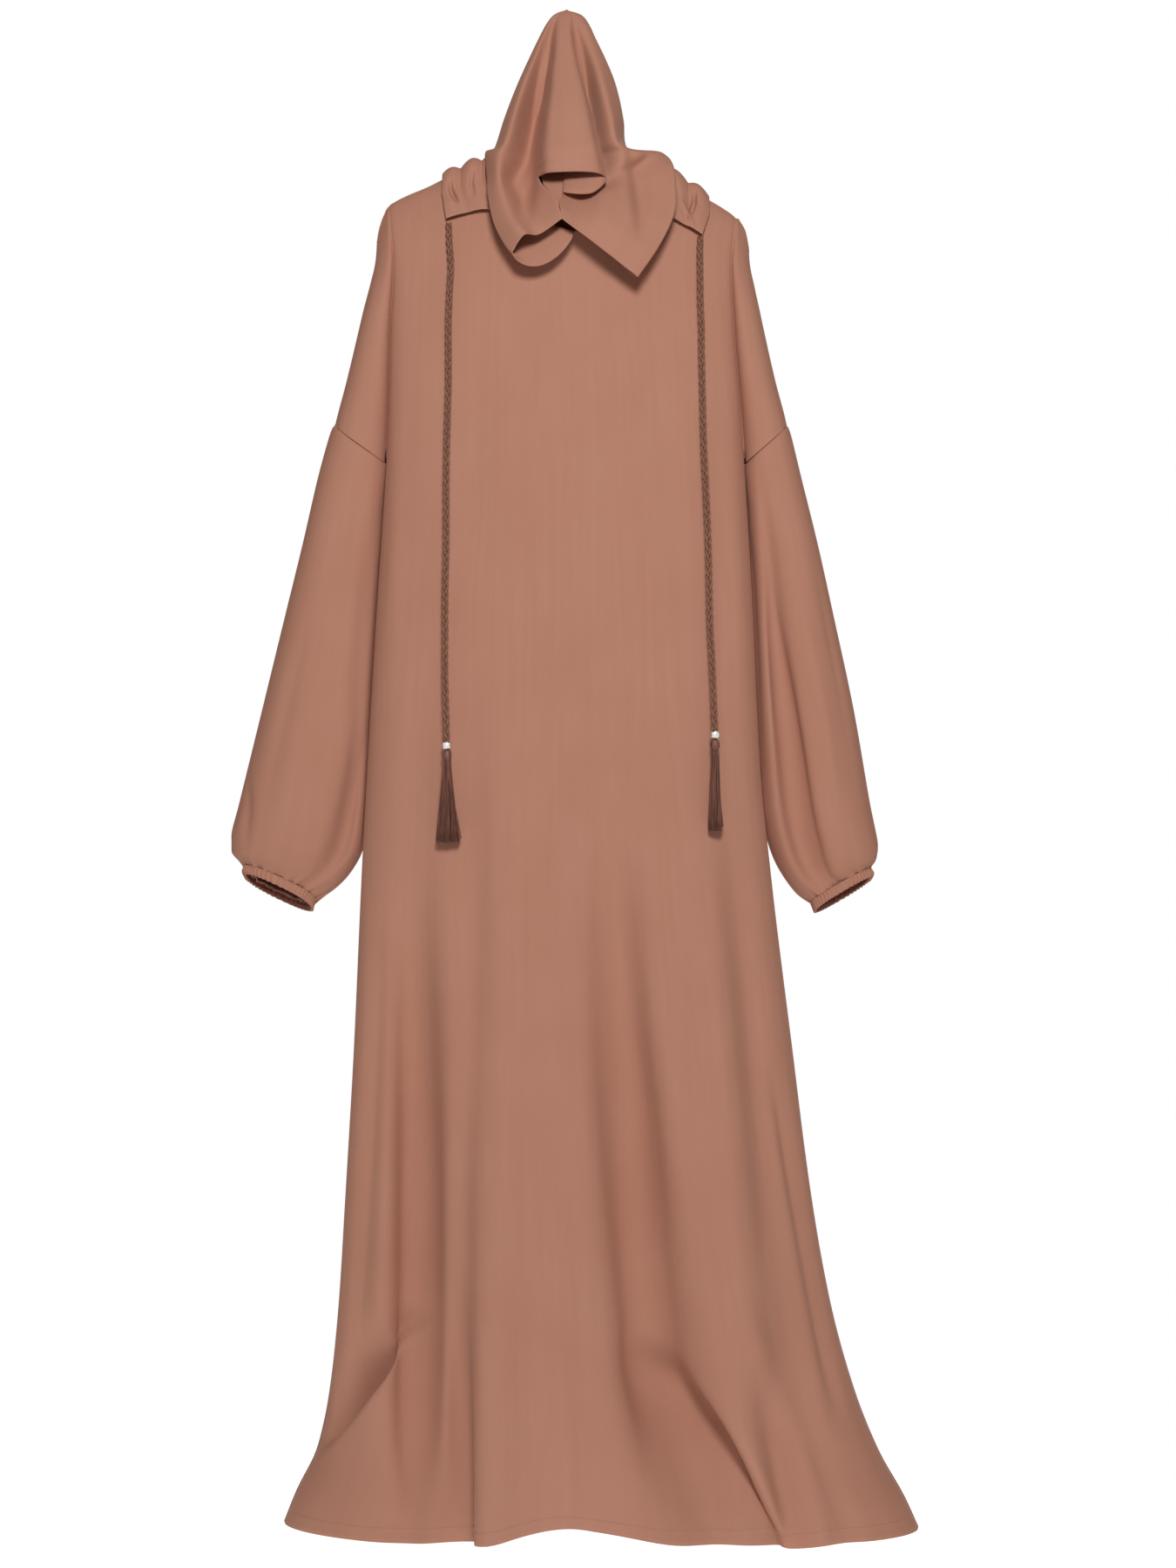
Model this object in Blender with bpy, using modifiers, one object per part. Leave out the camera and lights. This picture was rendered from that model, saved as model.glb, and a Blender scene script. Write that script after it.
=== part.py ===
"""Hooded dress, hanging by the tip of its hood: a long dress of soft crepe with dropped shoulders,
full sleeves gathered at the wrist, a hood with two wings over the chest, and a braided
drawstring with a bead and a tassel on each side.

Left and right are as seen from the front, which faces -Y. The origin is the hood's tip.
The tables are in millimetres. Drop is the depth below the hood's tip, fore is how far a
surface lies in front of the shoulder seam, and aft is how far it lies behind.
"""
import math
from bisect import bisect_right
from collections import namedtuple

import bmesh
import bpy
from mathutils import Vector

MM = 0.001
WALL = 1.6
GAP = 0.3
NECK_SEAM = 0.4

CREPE = (0.457, 0.222, 0.156)
BRAID = (0.165, 0.060, 0.040)
THREAD = (0.105, 0.038, 0.024)
SILVER = (0.78, 0.77, 0.75)

# The body, from the shoulder to the hem. Square is the power of the rounded section.
Body = namedtuple("Body", "drop left right front back square")
BODY = (
    Body(200, -186, 181, 25, 24, 3.2),
    Body(270, -180, 174, 37, 34, 3.2),
    Body(339, -183, 177, 46, 42, 3.2),
    Body(433, -186, 185, 52, 48, 3.1),
    Body(489, -189, 189, 55, 50, 3.0),
    Body(627, -198, 197, 59, 54, 3.0),
    Body(796, -208, 205, 65, 58, 2.9),
    Body(908, -214, 216, 69, 61, 2.8),
    Body(1087, -222, 238, 78, 68, 2.6),
    Body(1243, -231, 258, 88, 76, 2.4),
    Body(1356, -238, 278, 97, 84, 2.3),
    Body(1444, -247, 302, 106, 91, 2.2),
    Body(1507, -260, 327, 113, 97, 2.1),
    Body(1555, -283, 354, 120, 102, 2.0),
    Body(1590, -297, 370, 124, 106, 1.9),
)
HEM_DROP = 1586
HEM_LIFT = 15
HEM_LIFT_X = -30
HEM_LIFT_WIDTH = 85
HEM_RIGHT_FORE = 24
LEAN_DROP = 1100
TOP_SPACING = 1.8
ARMPIT_SLIT = 0.3

# The shoulder seam, from the left shoulder's end over the neck to the right shoulder's end
Shoulder = namedtuple("Shoulder", "x drop")
SHOULDER = (
    Shoulder(-198, 243),
    Shoulder(-196, 231),
    Shoulder(-191, 216),
    Shoulder(-184, 205),
    Shoulder(-176, 200),
    Shoulder(-163, 194),
    Shoulder(-146, 187),
    Shoulder(-128, 178),
    Shoulder(-78, 160),
    Shoulder(6, 155),
    Shoulder(90, 163),
    Shoulder(124, 182),
    Shoulder(151, 200),
    Shoulder(165, 208),
    Shoulder(181, 219),
    Shoulder(189, 231),
    Shoulder(191, 239),
    Shoulder(193, 250),
)
NECK_X = 6
NECK_HALF_WIDTH = 84
NECK_DIP_FRONT = 86
NECK_DIP_BACK = 20
NECK_SWELL = 22
NECK_SWELL_WIDTH = 75
NECK_SWELL_DROP = 200
NECK_SWELL_HEIGHT = 70

# The dropped shoulder beside the body, down to the sleeve's seam
Arm = namedtuple("Arm", "drop left right groove swell")
ARM = (
    Arm(205, -190, 185, 22, 3),
    Arm(243, -198, 192, 20, 8),
    Arm(264, -200, 194, 17, 13),
    Arm(320, -213, 205, 12, 22),
    Arm(392, -230, 221, 9, 27),
    Arm(430, -240, 231, 5, 29),
    Arm(475, -250, 240, 0, 30),
)
SEAM_DROP_OUTER = 437
SEAM_DROP_INNER = 475

# The folds of the front and back panels: where each lies across and how far it stands forward
# (or back, where negative) at five heights, with its half-width
FOLD_DROPS = (690, 990, 1310, 1470, 1586)
Fold = namedtuple("Fold", "width across push")
FRONT_FOLDS = (
    Fold(24, (-148, -152, -150, -148, -124), (-3, -10, -16, -19, -12)),
    Fold(15, (-100, -96, -107, -110, -112), (0, -4, -6, -7, -3)),
    Fold(28, (-60, -56, -70, -78, -94), (1, 4, 7, 10, 14)),
    Fold(62, (0, 0, 0, 4, 12), (0, 0, -2, -8, -34)),
    Fold(32, (42, 46, 91, 116, 158), (-4, -9, -20, -33, -20)),
    Fold(36, (95, 93, 160, 178, 228), (2, 4, 10, 15, 17)),
    Fold(20, (168, 180, 221, 246, 286), (0, -5, -8, -9, -8)),
)
BACK_FOLDS = (
    Fold(26, (-130, -128, -120, -118, -100), (-3, -8, -15, -18, -14)),
    Fold(30, (-60, -50, -52, -50, -40), (1, 4, 9, 13, 16)),
    Fold(34, (20, 24, 30, 34, 44), (-3, -7, -16, -24, -26)),
    Fold(34, (90, 100, 110, 120, 136), (2, 5, 10, 14, 18)),
    Fold(26, (150, 160, 180, 196, 220), (-2, -7, -14, -18, -16)),
)

# Each sleeve's rings: the outer and inner ends, and how far the front and back stand out
Ring = namedtuple("Ring", "outer_x outer_drop inner_x inner_drop fore aft tilt")
SLEEVE_LEFT = (
    Ring(-245, 437.8, -188.5, 475.8, 30, 30, 0),
    Ring(-259, 486, -191, 520, 28, 40, 0),
    Ring(-277, 560, -194, 580, 25, 52, 0),
    Ring(-297, 639, -197, 650, 22, 60, 0),
    Ring(-322, 739, -202, 745, 20, 68, 0),
    Ring(-345, 831, -209, 838, 18, 73, 0),
    Ring(-354, 868, -215, 880, 14, 72, 1),
    Ring(-354, 884, -228, 906, 7, 66, 4),
    Ring(-346, 895, -247, 925, -1, 57, 7),
    Ring(-340, 901, -264, 935, -6, 50, 9),
)
CUFF_LEFT = (
    Ring(-340.2, 901.4, -264.4, 935.4, -5.7, 50.3, 9),
    Ring(-342, 906, -267, 940, -4.5, 51, 9),
    Ring(-340, 911, -268, 945, -6, 49.5, 9),
)
SLEEVE_RIGHT = (
    Ring(235, 437.8, 189.5, 475.8, 30, 30, 0),
    Ring(248, 490, 192, 520, 28, 40, 0),
    Ring(266, 560, 195, 580, 25, 52, 0),
    Ring(284, 639, 198, 650, 22, 60, 0),
    Ring(305, 735, 202, 745, 20, 68, 0),
    Ring(322, 831, 208, 838, 18, 73, 0),
    Ring(331, 878, 219, 886, 13, 71, 1),
    Ring(329, 893, 232, 912, 6, 64, 3),
    Ring(325, 900, 247, 930, -1, 56, 5),
    Ring(323, 903, 260, 938, -6, 50, 6),
)
CUFF_RIGHT = (
    Ring(323.2, 903.4, 260.4, 938.4, -5.7, 50.3, 6),
    Ring(326, 908, 262, 943, -4.5, 51, 6),
    Ring(324, 913, 264, 948, -6, 49.5, 6),
)
RING_SQUARE = 2.4
GATHERS = 15
GATHER_DEPTH = 1.3

# The fold down each sleeve: its place round the ring in turns, and its depth at each ring
SLEEVE_FOLD_LEFT = (0.36, 0.045, (0, 0, 2, 4, 6, 8, 8, 5, 2, 0))
SLEEVE_FOLD_RIGHT = (0.315, 0.040, (0, 2, 7, 12, 16, 18, 16, 12, 5, 0))

# The hood's rings, from its tip to the forehead hem. The pipe is the forehead fold. On its left
# a trough lies beside it, on its right the cloth doubles back behind it to a crease, and the
# cheeks stand out between them and the sides.
Hood = namedtuple("Hood", "drop left right pipe_left pipe_right crease pipe trough cheek back")
HOOD = (
    Hood(0, 0, 2, 0, 2, 1, 1, 1, 1, 1),
    Hood(5, -12, 17, -5, 5, 7, 7, 6, 5.5, 7),
    Hood(15, -20, 25, -9, 6, 8, 13, 9, 10, 14),
    Hood(30, -28, 32, -12, 7, 9, 21, 9, 14, 21),
    Hood(51, -38, 42, -14, 11, 10, 30, 9, 19, 28),
    Hood(73, -48, 51, -17, 16, 11, 39, 10, 25, 34),
    Hood(95, -57, 57, -19, 22, 10, 48, 11, 30, 39),
    Hood(117, -65, 61, -23, 28, 8, 56, 14, 36, 43),
    Hood(147, -75, 66, -27, 35, 5, 65, 20, 44, 44),
    Hood(161, -84, 99, -28, 38, 2, 69, 23, 47, 40),
    Hood(185, -81, 112, -28, 41, -2, 72, 27, 52, 40),
)
NECK_ROW = 9
HEM_ROW = 10
SPAN = 3
EDGE_SPAN = 10
SIDE_SPAN = 14
LEFT_SIDE = (-84, 2, 151)
RIGHT_SIDE = (101, 2, 151)
RIGHT_CHEEK = (88, 27, 154)
HEM_RETURN = ((43, 58, 189), (27, 67, 206), (-2, 63, 204))

# The wings, from the forehead hem down to their lower edges. Edge is the free front edge,
# fold is the outer fold, and the inner layer turns back behind it.
Wing = namedtuple(
    "Wing",
    "edge_x edge_drop edge_fore near_fore far_fore far_lift fold_x fold_drop fold_fore in_x in_drop in_fore sag",
)
WING_LEFT = (
    Wing(-28, 185, 50, 30, 54, 0, -81, 185, 36, -70, 187, 25, 0),
    Wing(-18, 202, 66, 44, 62, 0, -80, 202, 48, -60, 206, 33, 2),
    Wing(-12, 213, 75, 57, 70, 1, -77, 221, 57, -42, 222, 42, 7),
    Wing(-11, 221, 79, 67, 78, 3, -72, 239, 65, -22, 236, 48, 14),
    Wing(-10, 227, 82, 75, 86, 5, -64, 255, 71, -5, 246, 50, 19),
    Wing(-9, 231, 84, 79, 90, 7, -54, 268, 76, 9, 252, 52, 23),
)
WING_RIGHT = (
    Wing(-2, 204, 63, 44, 44, 0, 112, 166, 24, 0, 0, 0, 0),
    Wing(-4, 211, 70, 58, 54, 0, 115, 190, 38, 0, 0, 0, 0),
    Wing(-5, 218, 76, 70, 66, 0, 113, 224, 54, 94, 226, 40, 0),
    Wing(-4, 226, 80, 79, 75, 0, 97, 260, 68, 75, 256, 49, 0),
    Wing(-4, 234, 84, 85, 83, 0, 75, 294, 79, 55, 274, 58, 0),
)
HOLLOW_RIGHT = 0.16
HOLLOW = (10, 12, 9, 4, 0)
TURN_POWER = 5
SAG_POWER = 0.6
NEAR_LEFT = 0.45
FAR_LEFT = 0.75
NEAR_RIGHT = 0.38
FAR_RIGHT = 0.66
RIGHT_TURN_START = 2
TURN_STEPS = 6

# The drawstring casing: two puffed ends over the shoulders and a gathered band behind the neck
Casing = namedtuple("Casing", "outer outer_hem inner inner_hem front_length back_length puffs shift")
CASING_LEFT = Casing(-129, -124, -87, -74, 50, 56, 2.0, 0.16)
CASING_RIGHT = Casing(151, 143, 108, 107, 48, 56, 2.0, 0.05)
CASING_ROWS = 5
CASING_LIFT = 0.8
RIDGE_LIFT = 1.6
PUFF_TOP = 6.0
PUFF_HEM = 1.6
BAND_LEFT = -85.6
BAND_RIGHT = 107.7
BAND_LENGTH = 58
BAND_PLEATS = 12
BAND_PLEAT_DEPTH = 4.0

# The drawstrings: a braid from each casing's front corner, hanging down the front
BRAID_DIAMETER = 6.4
BRAID_STEP = 18
Route = namedtuple("Route", "x fore drop")
ROUTE_LEFT = (
    Route(-121, 29, 229),
    Route(-120, 36, 250),
    Route(-118, 44, 275),
    Route(-119, 49, 300),
    Route(-120, 53, 330),
    Route(-120, 55, 362),
    Route(-120, 57, 402),
    Route(-121, 59, 440),
    Route(-122, 61, 494),
    Route(-122, 62, 530),
    Route(-122, 64, 570),
    Route(-123, 65, 614),
    Route(-123, 67, 655),
    Route(-123, 68, 697),
    Route(-122, 70, 735),
    Route(-121, 71, 768),
)
ROUTE_RIGHT = (
    Route(141, 28, 243),
    Route(140, 35, 258),
    Route(140, 43, 280),
    Route(140, 48, 311),
    Route(141, 51, 340),
    Route(141, 53, 366),
    Route(142, 55, 412),
    Route(143, 57, 458),
    Route(145, 58, 502),
    Route(147, 60, 548),
    Route(148, 61, 581),
    Route(149, 63, 640),
    Route(151, 65, 681),
    Route(153, 67, 730),
    Route(154, 69, 757),
)
BEAD_RADIUS = 5.2
BEAD_FLAT = 0.924
HEAD_RADIUS = 4.8
HEAD_LENGTH = 10.5
Tassel = namedtuple("Tassel", "length half_width half_depth")
TASSEL_LEFT = Tassel(95, 13, 8)
TASSEL_RIGHT = Tassel(94, 7.5, 7.5)
STRANDS = 36
STRAND_ROOT = 0.42
STRAND_END = 0.75
STRAND_UNEVEN = 2.5
GOLDEN_ANGLE = math.pi * (3 - math.sqrt(5))


# Start from an empty scene, with one collection for the dress and one for its joining shapes
for old in list(bpy.data.objects):
    bpy.data.objects.remove(old, do_unlink=True)
dress = bpy.data.collections.new("hooded_dress")
joining = bpy.data.collections.new("joining_shapes")
bpy.context.scene.collection.children.link(dress)
bpy.context.scene.collection.children.link(joining)


def finish(name, colour, roughness, metallic=0.0):
    """A plain material for one sub-part."""
    material = bpy.data.materials.new(name)
    material.use_nodes = True
    shader = material.node_tree.nodes["Principled BSDF"]
    shader.inputs["Base Color"].default_value = (*colour, 1.0)
    shader.inputs["Roughness"].default_value = roughness
    shader.inputs["Metallic"].default_value = metallic
    return material


def place(name, mesh, material, collection=dress):
    """An object for a finished mesh."""
    thing = bpy.data.objects.new(name, mesh)
    mesh.materials.append(material)
    collection.objects.link(thing)
    return thing


def read(rows, name, at, by="drop"):
    """One column of a table between its rows, on a smooth curve that doesn't overshoot."""
    keys = [getattr(row, by) for row in rows]
    values = [getattr(row, name) for row in rows]
    return between(keys, values, at)


def between(keys, values, at):
    """A smooth curve through values at rising keys, flat past both ends."""
    last = len(keys) - 1
    at = min(max(at, keys[0]), keys[last])
    low = min(max(bisect_right(keys, at) - 1, 0), last - 1)
    steps = [(values[i + 1] - values[i]) / (keys[i + 1] - keys[i]) for i in range(last)]

    def slope(i):
        if i in (0, last):
            return steps[min(i, last - 1)]
        before, after = steps[i - 1], steps[i]
        return 0.0 if before * after <= 0 else 2 * before * after / (before + after)

    width = keys[low + 1] - keys[low]
    t = (at - keys[low]) / width
    rise = t * t * (3 - 2 * t)
    pull = width * (slope(low) * t * (1 - t) ** 2 - slope(low + 1) * t * t * (1 - t))
    return values[low] + (values[low + 1] - values[low]) * rise + pull


def hump(distance, width):
    """A soft round hump, 1 at its middle."""
    return math.exp(-((distance / width) ** 2))


def power(value, exponent):
    """A signed power, for rounded square sections."""
    return math.copysign(abs(value) ** exponent, value)


# The panels


def shoulder_line(x):
    """Drop of the shoulder seam, carried on over the open neck."""
    return read(SHOULDER, "drop", x, by="x")


def top_line(x, front):
    """Drop of a panel's upper edge: the shoulder seam, and the neckline between."""
    across = min(abs(x - NECK_X) / NECK_HALF_WIDTH, 1.0)
    dip = NECK_DIP_FRONT * math.sqrt(1 - across**2) if front else NECK_DIP_BACK * (1 - across**2)
    return shoulder_line(x) + dip


def folds(rows, x, drop):
    """How far the folds push a panel out at one point."""
    total = 0.0
    for fold in rows:
        middle = between(FOLD_DROPS, fold.across, drop)
        push = between(FOLD_DROPS, fold.push, drop)
        fade = min(max((drop - 520) / 200, 0.0), 1.0)
        total += push * fade * hump(x - middle, fold.width)
    return total


def panel_depth(x, across, drop, front, top):
    """How far a panel stands out from the shoulder seam's plane. Across runs from -1 to 1."""
    square = read(BODY, "square", drop)
    edge = max(1 - abs(across) ** square, 0.0) ** (1 / square)
    groove = read(ARM, "groove", drop)
    reach = read(BODY, "front" if front else "back", drop)
    swell = NECK_SWELL * hump(x - NECK_X, NECK_SWELL_WIDTH)
    swell *= hump(drop - NECK_SWELL_DROP, NECK_SWELL_HEIGHT)
    settle = 40 - 15 * hump(x - NECK_X, 80)
    rise = (1 - math.exp(-max(drop - top, 0.0) / settle)) ** 0.7
    out = rise * (groove + (reach - groove) * edge + swell)
    return out + edge * folds(FRONT_FOLDS if front else BACK_FOLDS, x, drop)


def spread(u):
    """Places across a panel from -1 to 1, closer together at its sides."""
    return 0.5 * (2 * u - 1) - 0.5 * math.cos(math.pi * u)


def body_point(u, v, front, top_share):
    """A point of a panel between its side seams, v = 0 at the top and 1 at the hem."""
    across = spread(u)
    top_x = mid_half(BODY[0].drop, across)
    line = shoulder_line(top_x)
    if v <= top_share:
        edge = top_line(top_x, front)
        drop = edge + (SEAM_DROP_INNER - edge) * (v / top_share) ** TOP_SPACING
    else:
        w = (v - top_share) / (1 - top_share)
        drop = SEAM_DROP_INNER + (HEM_DROP - SEAM_DROP_INNER) * w**0.9
        if front:
            drop -= HEM_LIFT * w**6 * hump(top_x * 1.6 - HEM_LIFT_X, HEM_LIFT_WIDTH)
    x = mid_half(drop, across)
    out = panel_depth(x, across, drop, front, line) + GAP / 2
    return (x, (-1 if front else 1) * out - seam_plane(x, drop), drop)


def mid_half(drop, across):
    """X at a share across the body, -1 at its left edge and 1 at its right."""
    left = read(BODY, "left", drop)
    right = read(BODY, "right", drop)
    return (left + right) / 2 + (right - left) / 2 * across


def arm_point(turn, v, side, front):
    """A point of the dropped shoulder: turn 0 at its outer edge and 1 beside the body."""
    share = 0.5 - 0.5 * math.cos(math.pi * turn)
    column = "left" if side < 0 else "right"
    body_edge_top = read(BODY, column, BODY[0].drop)
    outer_top = (SHOULDER[0] if side < 0 else SHOULDER[-1]).x
    top_x = outer_top + (body_edge_top - outer_top) * share
    top = shoulder_line(top_x)
    bottom = SEAM_DROP_OUTER + (SEAM_DROP_INNER - SEAM_DROP_OUTER) * share
    drop = top + (bottom - top) * v**TOP_SPACING
    outer = read(ARM, column, drop)
    inner = read(BODY, column, drop)
    w = min(v * 2.5, 1.0)
    x = top_x + (outer + (inner - outer) * share - top_x) * w
    rise = (1 - math.exp(-max(drop - top, 0.0) / 40)) ** 0.7
    round_off = max(1 - abs(2 * share - 1) ** RING_SQUARE, 0.0) ** (1 / RING_SQUARE)
    out = rise * (read(ARM, "groove", drop) * share + read(ARM, "swell", drop) * round_off)
    return (x, (-1 if front else 1) * (out + GAP / 2), drop)


def seam_plane(x, drop):
    """How far forward the side seams have come at one place, out of the plane of the shoulders."""
    left = read(BODY, "left", drop)
    right = read(BODY, "right", drop)
    across = max((2 * x - left - right) / (right - left), 0.0)
    return HEM_RIGHT_FORE * across**2 * max((drop - LEAN_DROP) / (HEM_DROP - LEAN_DROP), 0.0) ** 2


def keep_side(cells, facing):
    """Hold a panel's wall on its own side of the seams, half a gap clear of them."""
    for _ in range(5):
        cells.normal_update()
        for vertex in cells.verts:
            seam = -seam_plane(vertex.co.x / MM, -vertex.co.z / MM) * MM
            least = (GAP / 2 + WALL * max(facing * vertex.normal.y, 0.0)) * MM
            vertex.co.y = seam + facing * max(facing * (vertex.co.y - seam), least)


def sheet_object(name, chains, point, material, facing=0, shared=None):
    """Cloth from chains of grid cells: each chain is a list of column keys with its rows, and
    every cell between neighbours is a face. The wall is given by Solidify, inwards. Facing is
    -1 for a panel before the seams and 1 behind them. Shared gives the one column that stands
    for a column at some rows, where columns run together."""
    cells = bmesh.new()
    corners = {}

    def corner(column, row):
        key = (shared(column, row), row) if shared else (column, row)
        if key not in corners:
            x, y, drop = point(*key)
            corners[key] = cells.verts.new((x * MM, y * MM, -drop * MM))
        return corners[key]

    for columns, rows, outwards in chains:
        for row in rows:
            for near, far in zip(columns, columns[1:]):
                face = [corner(near, row), corner(near, row + 1), corner(far, row + 1), corner(far, row)]
                face = list(dict.fromkeys(face))
                cells.faces.new(face if outwards else face[::-1])
    if facing:
        keep_side(cells, facing)
    mesh = bpy.data.meshes.new(name)
    cells.to_mesh(mesh)
    cells.free()
    mesh.shade_smooth()
    thing = place(name, mesh, material)
    wall = thing.modifiers.new("wall", "SOLIDIFY")
    wall.thickness = WALL * MM
    wall.offset = -1
    return thing


def panel(name, front, body_columns, top_rows, low_rows, arm_columns, material):
    """One body panel with its two dropped shoulders. Columns run from left to right. The
    shoulders part from the body at the armpit, below their last row but one."""
    share = 0.3
    first_body = arm_columns
    last_body = arm_columns + body_columns
    columns = list(range(last_body + arm_columns + 1))

    def point(column, row):
        if column < first_body:
            return arm_point(column / arm_columns, row / top_rows, -1, front)
        if column > last_body:
            return arm_point((columns[-1] - column) / arm_columns, row / top_rows, 1, front)
        if row <= top_rows:
            v = share * row / top_rows
        else:
            v = share + (1 - share) * (row - top_rows) / low_rows
        return body_point((column - first_body) / body_columns, v, front, share)

    def shared(column, row):
        return round(column) if row < top_rows else column

    chains = [
        (columns[: first_body] + [first_body - ARMPIT_SLIT], range(top_rows), front),
        (columns[first_body : last_body + 1], range(top_rows + low_rows), front),
        ([last_body + ARMPIT_SLIT] + columns[last_body + 1 :], range(top_rows), front),
    ]
    return sheet_object(name, chains, point, material, -1 if front else 1, shared)


# The sleeves and cuffs


def ring_point(ring, turn, gather, fold=0.0, fold_place=0.0, fold_width=1.0):
    """A point round one ring of a sleeve: turn 0 is the outer end and 0.25 the front."""
    angle = 2 * math.pi * turn
    along = power(math.cos(angle), 2 / RING_SQUARE)
    out = power(math.sin(angle), 2 / RING_SQUARE)
    pleat = 1 + gather * math.cos(2 * math.pi * turn * GATHERS) / 40
    x = (ring.outer_x + ring.inner_x) / 2 + (ring.outer_x - ring.inner_x) / 2 * along * pleat
    drop = (ring.outer_drop + ring.inner_drop) / 2
    drop += (ring.outer_drop - ring.inner_drop) / 2 * along - ring.tilt * out
    y = (ring.aft - ring.fore) / 2 - (ring.aft + ring.fore) / 2 * out * pleat
    y += fold * hump(turn - fold_place, fold_width)
    return (x, y, drop)


def tube(name, rings, around, side, material, fold=None, gathers=None):
    """A closed tube of cloth through a table of rings."""

    def point(column, row):
        turn = (column % around) / around
        place_in_turn, width, depths = fold or (0.25, 1.0, (0,) * len(rings))
        gather = gathers[row] if gathers else 0.0
        return ring_point(rings[row], turn, gather, depths[row], place_in_turn, width)

    columns = list(range(around)) + [0]
    chains = [(columns, range(len(rings) - 1), side < 0)]
    return sheet_object(name, chains, point, material)


# The hood


def curve_through(points, span, step):
    """A point on the smooth curve through points, between span and span + 1. Ends repeat."""
    last = len(points) - 1
    before, start, end, after = (points[min(max(span + k, 0), last)] for k in (-1, 0, 1, 2))
    t = step
    return tuple(
        0.5 * (2 * b + (c - a) * t + (2 * a - 5 * b + 4 * c - d) * t * t + (3 * b - a - 3 * c + d) * t**3)
        for a, b, c, d in zip(before, start, end, after)
    )


def along(points, where):
    """A point on the open smooth curve through points, counted in spans from the first."""
    span = min(int(where), len(points) - 2)
    return curve_through(points, span, where - span)


def part_way(near, far, share):
    """A point part of the way from one to another."""
    return tuple(a + (b - a) * share for a, b in zip(near, far))


def hood_controls(row):
    """The sixteen points that shape one ring: from the nape, round the left to the right."""
    ring = HOOD[row]
    left_gap = ring.pipe_left - ring.left
    right_gap = ring.right - ring.pipe_right
    width = ring.pipe_right - ring.pipe_left
    middle = (ring.left + ring.right) / 2
    rise = ring.pipe - ring.trough
    points = [
        (middle, ring.back, ring.drop),
        (middle + 0.72 * (ring.left - middle), 0.72 * ring.back, ring.drop),
        (ring.left, 0, ring.drop),
        (ring.left + 0.28 * left_gap, -ring.cheek, ring.drop),
        (ring.left + 0.74 * left_gap, -ring.trough, ring.drop),
        (ring.pipe_left, -ring.trough - 0.5 * rise, ring.drop),
        (ring.pipe_left + 0.2 * width, -0.97 * ring.pipe, ring.drop),
        (ring.pipe_right - 0.2 * width, -ring.pipe, ring.drop),
        (ring.pipe_right, -ring.trough - 0.72 * rise, ring.drop),
        ((ring.pipe_right + ring.crease) / 2, -ring.trough - 0.5 * rise, ring.drop),
        (ring.crease, -ring.trough - 0.2 * rise, ring.drop),
        (ring.crease + 0.18 * (ring.right - ring.crease), -ring.trough, ring.drop),
        (ring.pipe_right + 0.48 * right_gap, -ring.cheek, ring.drop),
        (ring.pipe_right + 0.8 * right_gap, -0.7 * ring.cheek, ring.drop),
        (ring.right, 0, ring.drop),
        (middle + 0.72 * (ring.right - middle), 0.72 * ring.back, ring.drop),
    ]
    if row == NECK_ROW:
        points[2] = (LEFT_SIDE[0], -LEFT_SIDE[1], LEFT_SIDE[2])
        points[13] = (RIGHT_CHEEK[0], -RIGHT_CHEEK[1], RIGHT_CHEEK[2])
        points[14] = (RIGHT_SIDE[0], -RIGHT_SIDE[1], RIGHT_SIDE[2])
    if row == HEM_ROW:
        points[2:6] = wing_controls("left", 0)[::-1]
        points[8:11] = [(x, -fore, drop) for x, fore, drop in HEM_RETURN]
        points[EDGE_SPAN : SIDE_SPAN + 1] = wing_controls("right", 0)
    return points


def wing_controls(side, step):
    """The points across one wing's outer layer, from its free edge to its fold."""
    wing = (WING_LEFT if side == "left" else WING_RIGHT)[step]
    near, far = (NEAR_LEFT, FAR_LEFT) if side == "left" else (NEAR_RIGHT, FAR_RIGHT)
    edge = (wing.edge_x, -wing.edge_fore, wing.edge_drop)
    fold = (wing.fold_x, -wing.fold_fore, wing.fold_drop)
    near_point = part_way(edge, fold, near)
    far_point = part_way(edge, fold, far)
    points = [
        edge,
        (near_point[0], -wing.near_fore, near_point[2]),
        (far_point[0], -wing.far_fore, far_point[2] - wing.far_lift),
        fold,
    ]
    if side == "right":
        x, _, drop = part_way(edge, fold, HOLLOW_RIGHT)
        fore = (wing.edge_fore + wing.near_fore) / 2 - HOLLOW[step]
        points.insert(1, (x, -fore, drop))
    return points


def turn_point(wing, share):
    """A point of one wing's inner layer, from its hidden edge to the fold it turns back from."""
    x = wing.in_x + (wing.fold_x - wing.in_x) * share
    drop = wing.in_drop + (wing.fold_drop - wing.in_drop) * share
    drop += wing.sag * math.sin(math.pi * share) ** SAG_POWER
    fore = wing.in_fore + (wing.fold_fore - wing.in_fore) * share**TURN_POWER
    return (x, -fore, drop)


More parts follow.
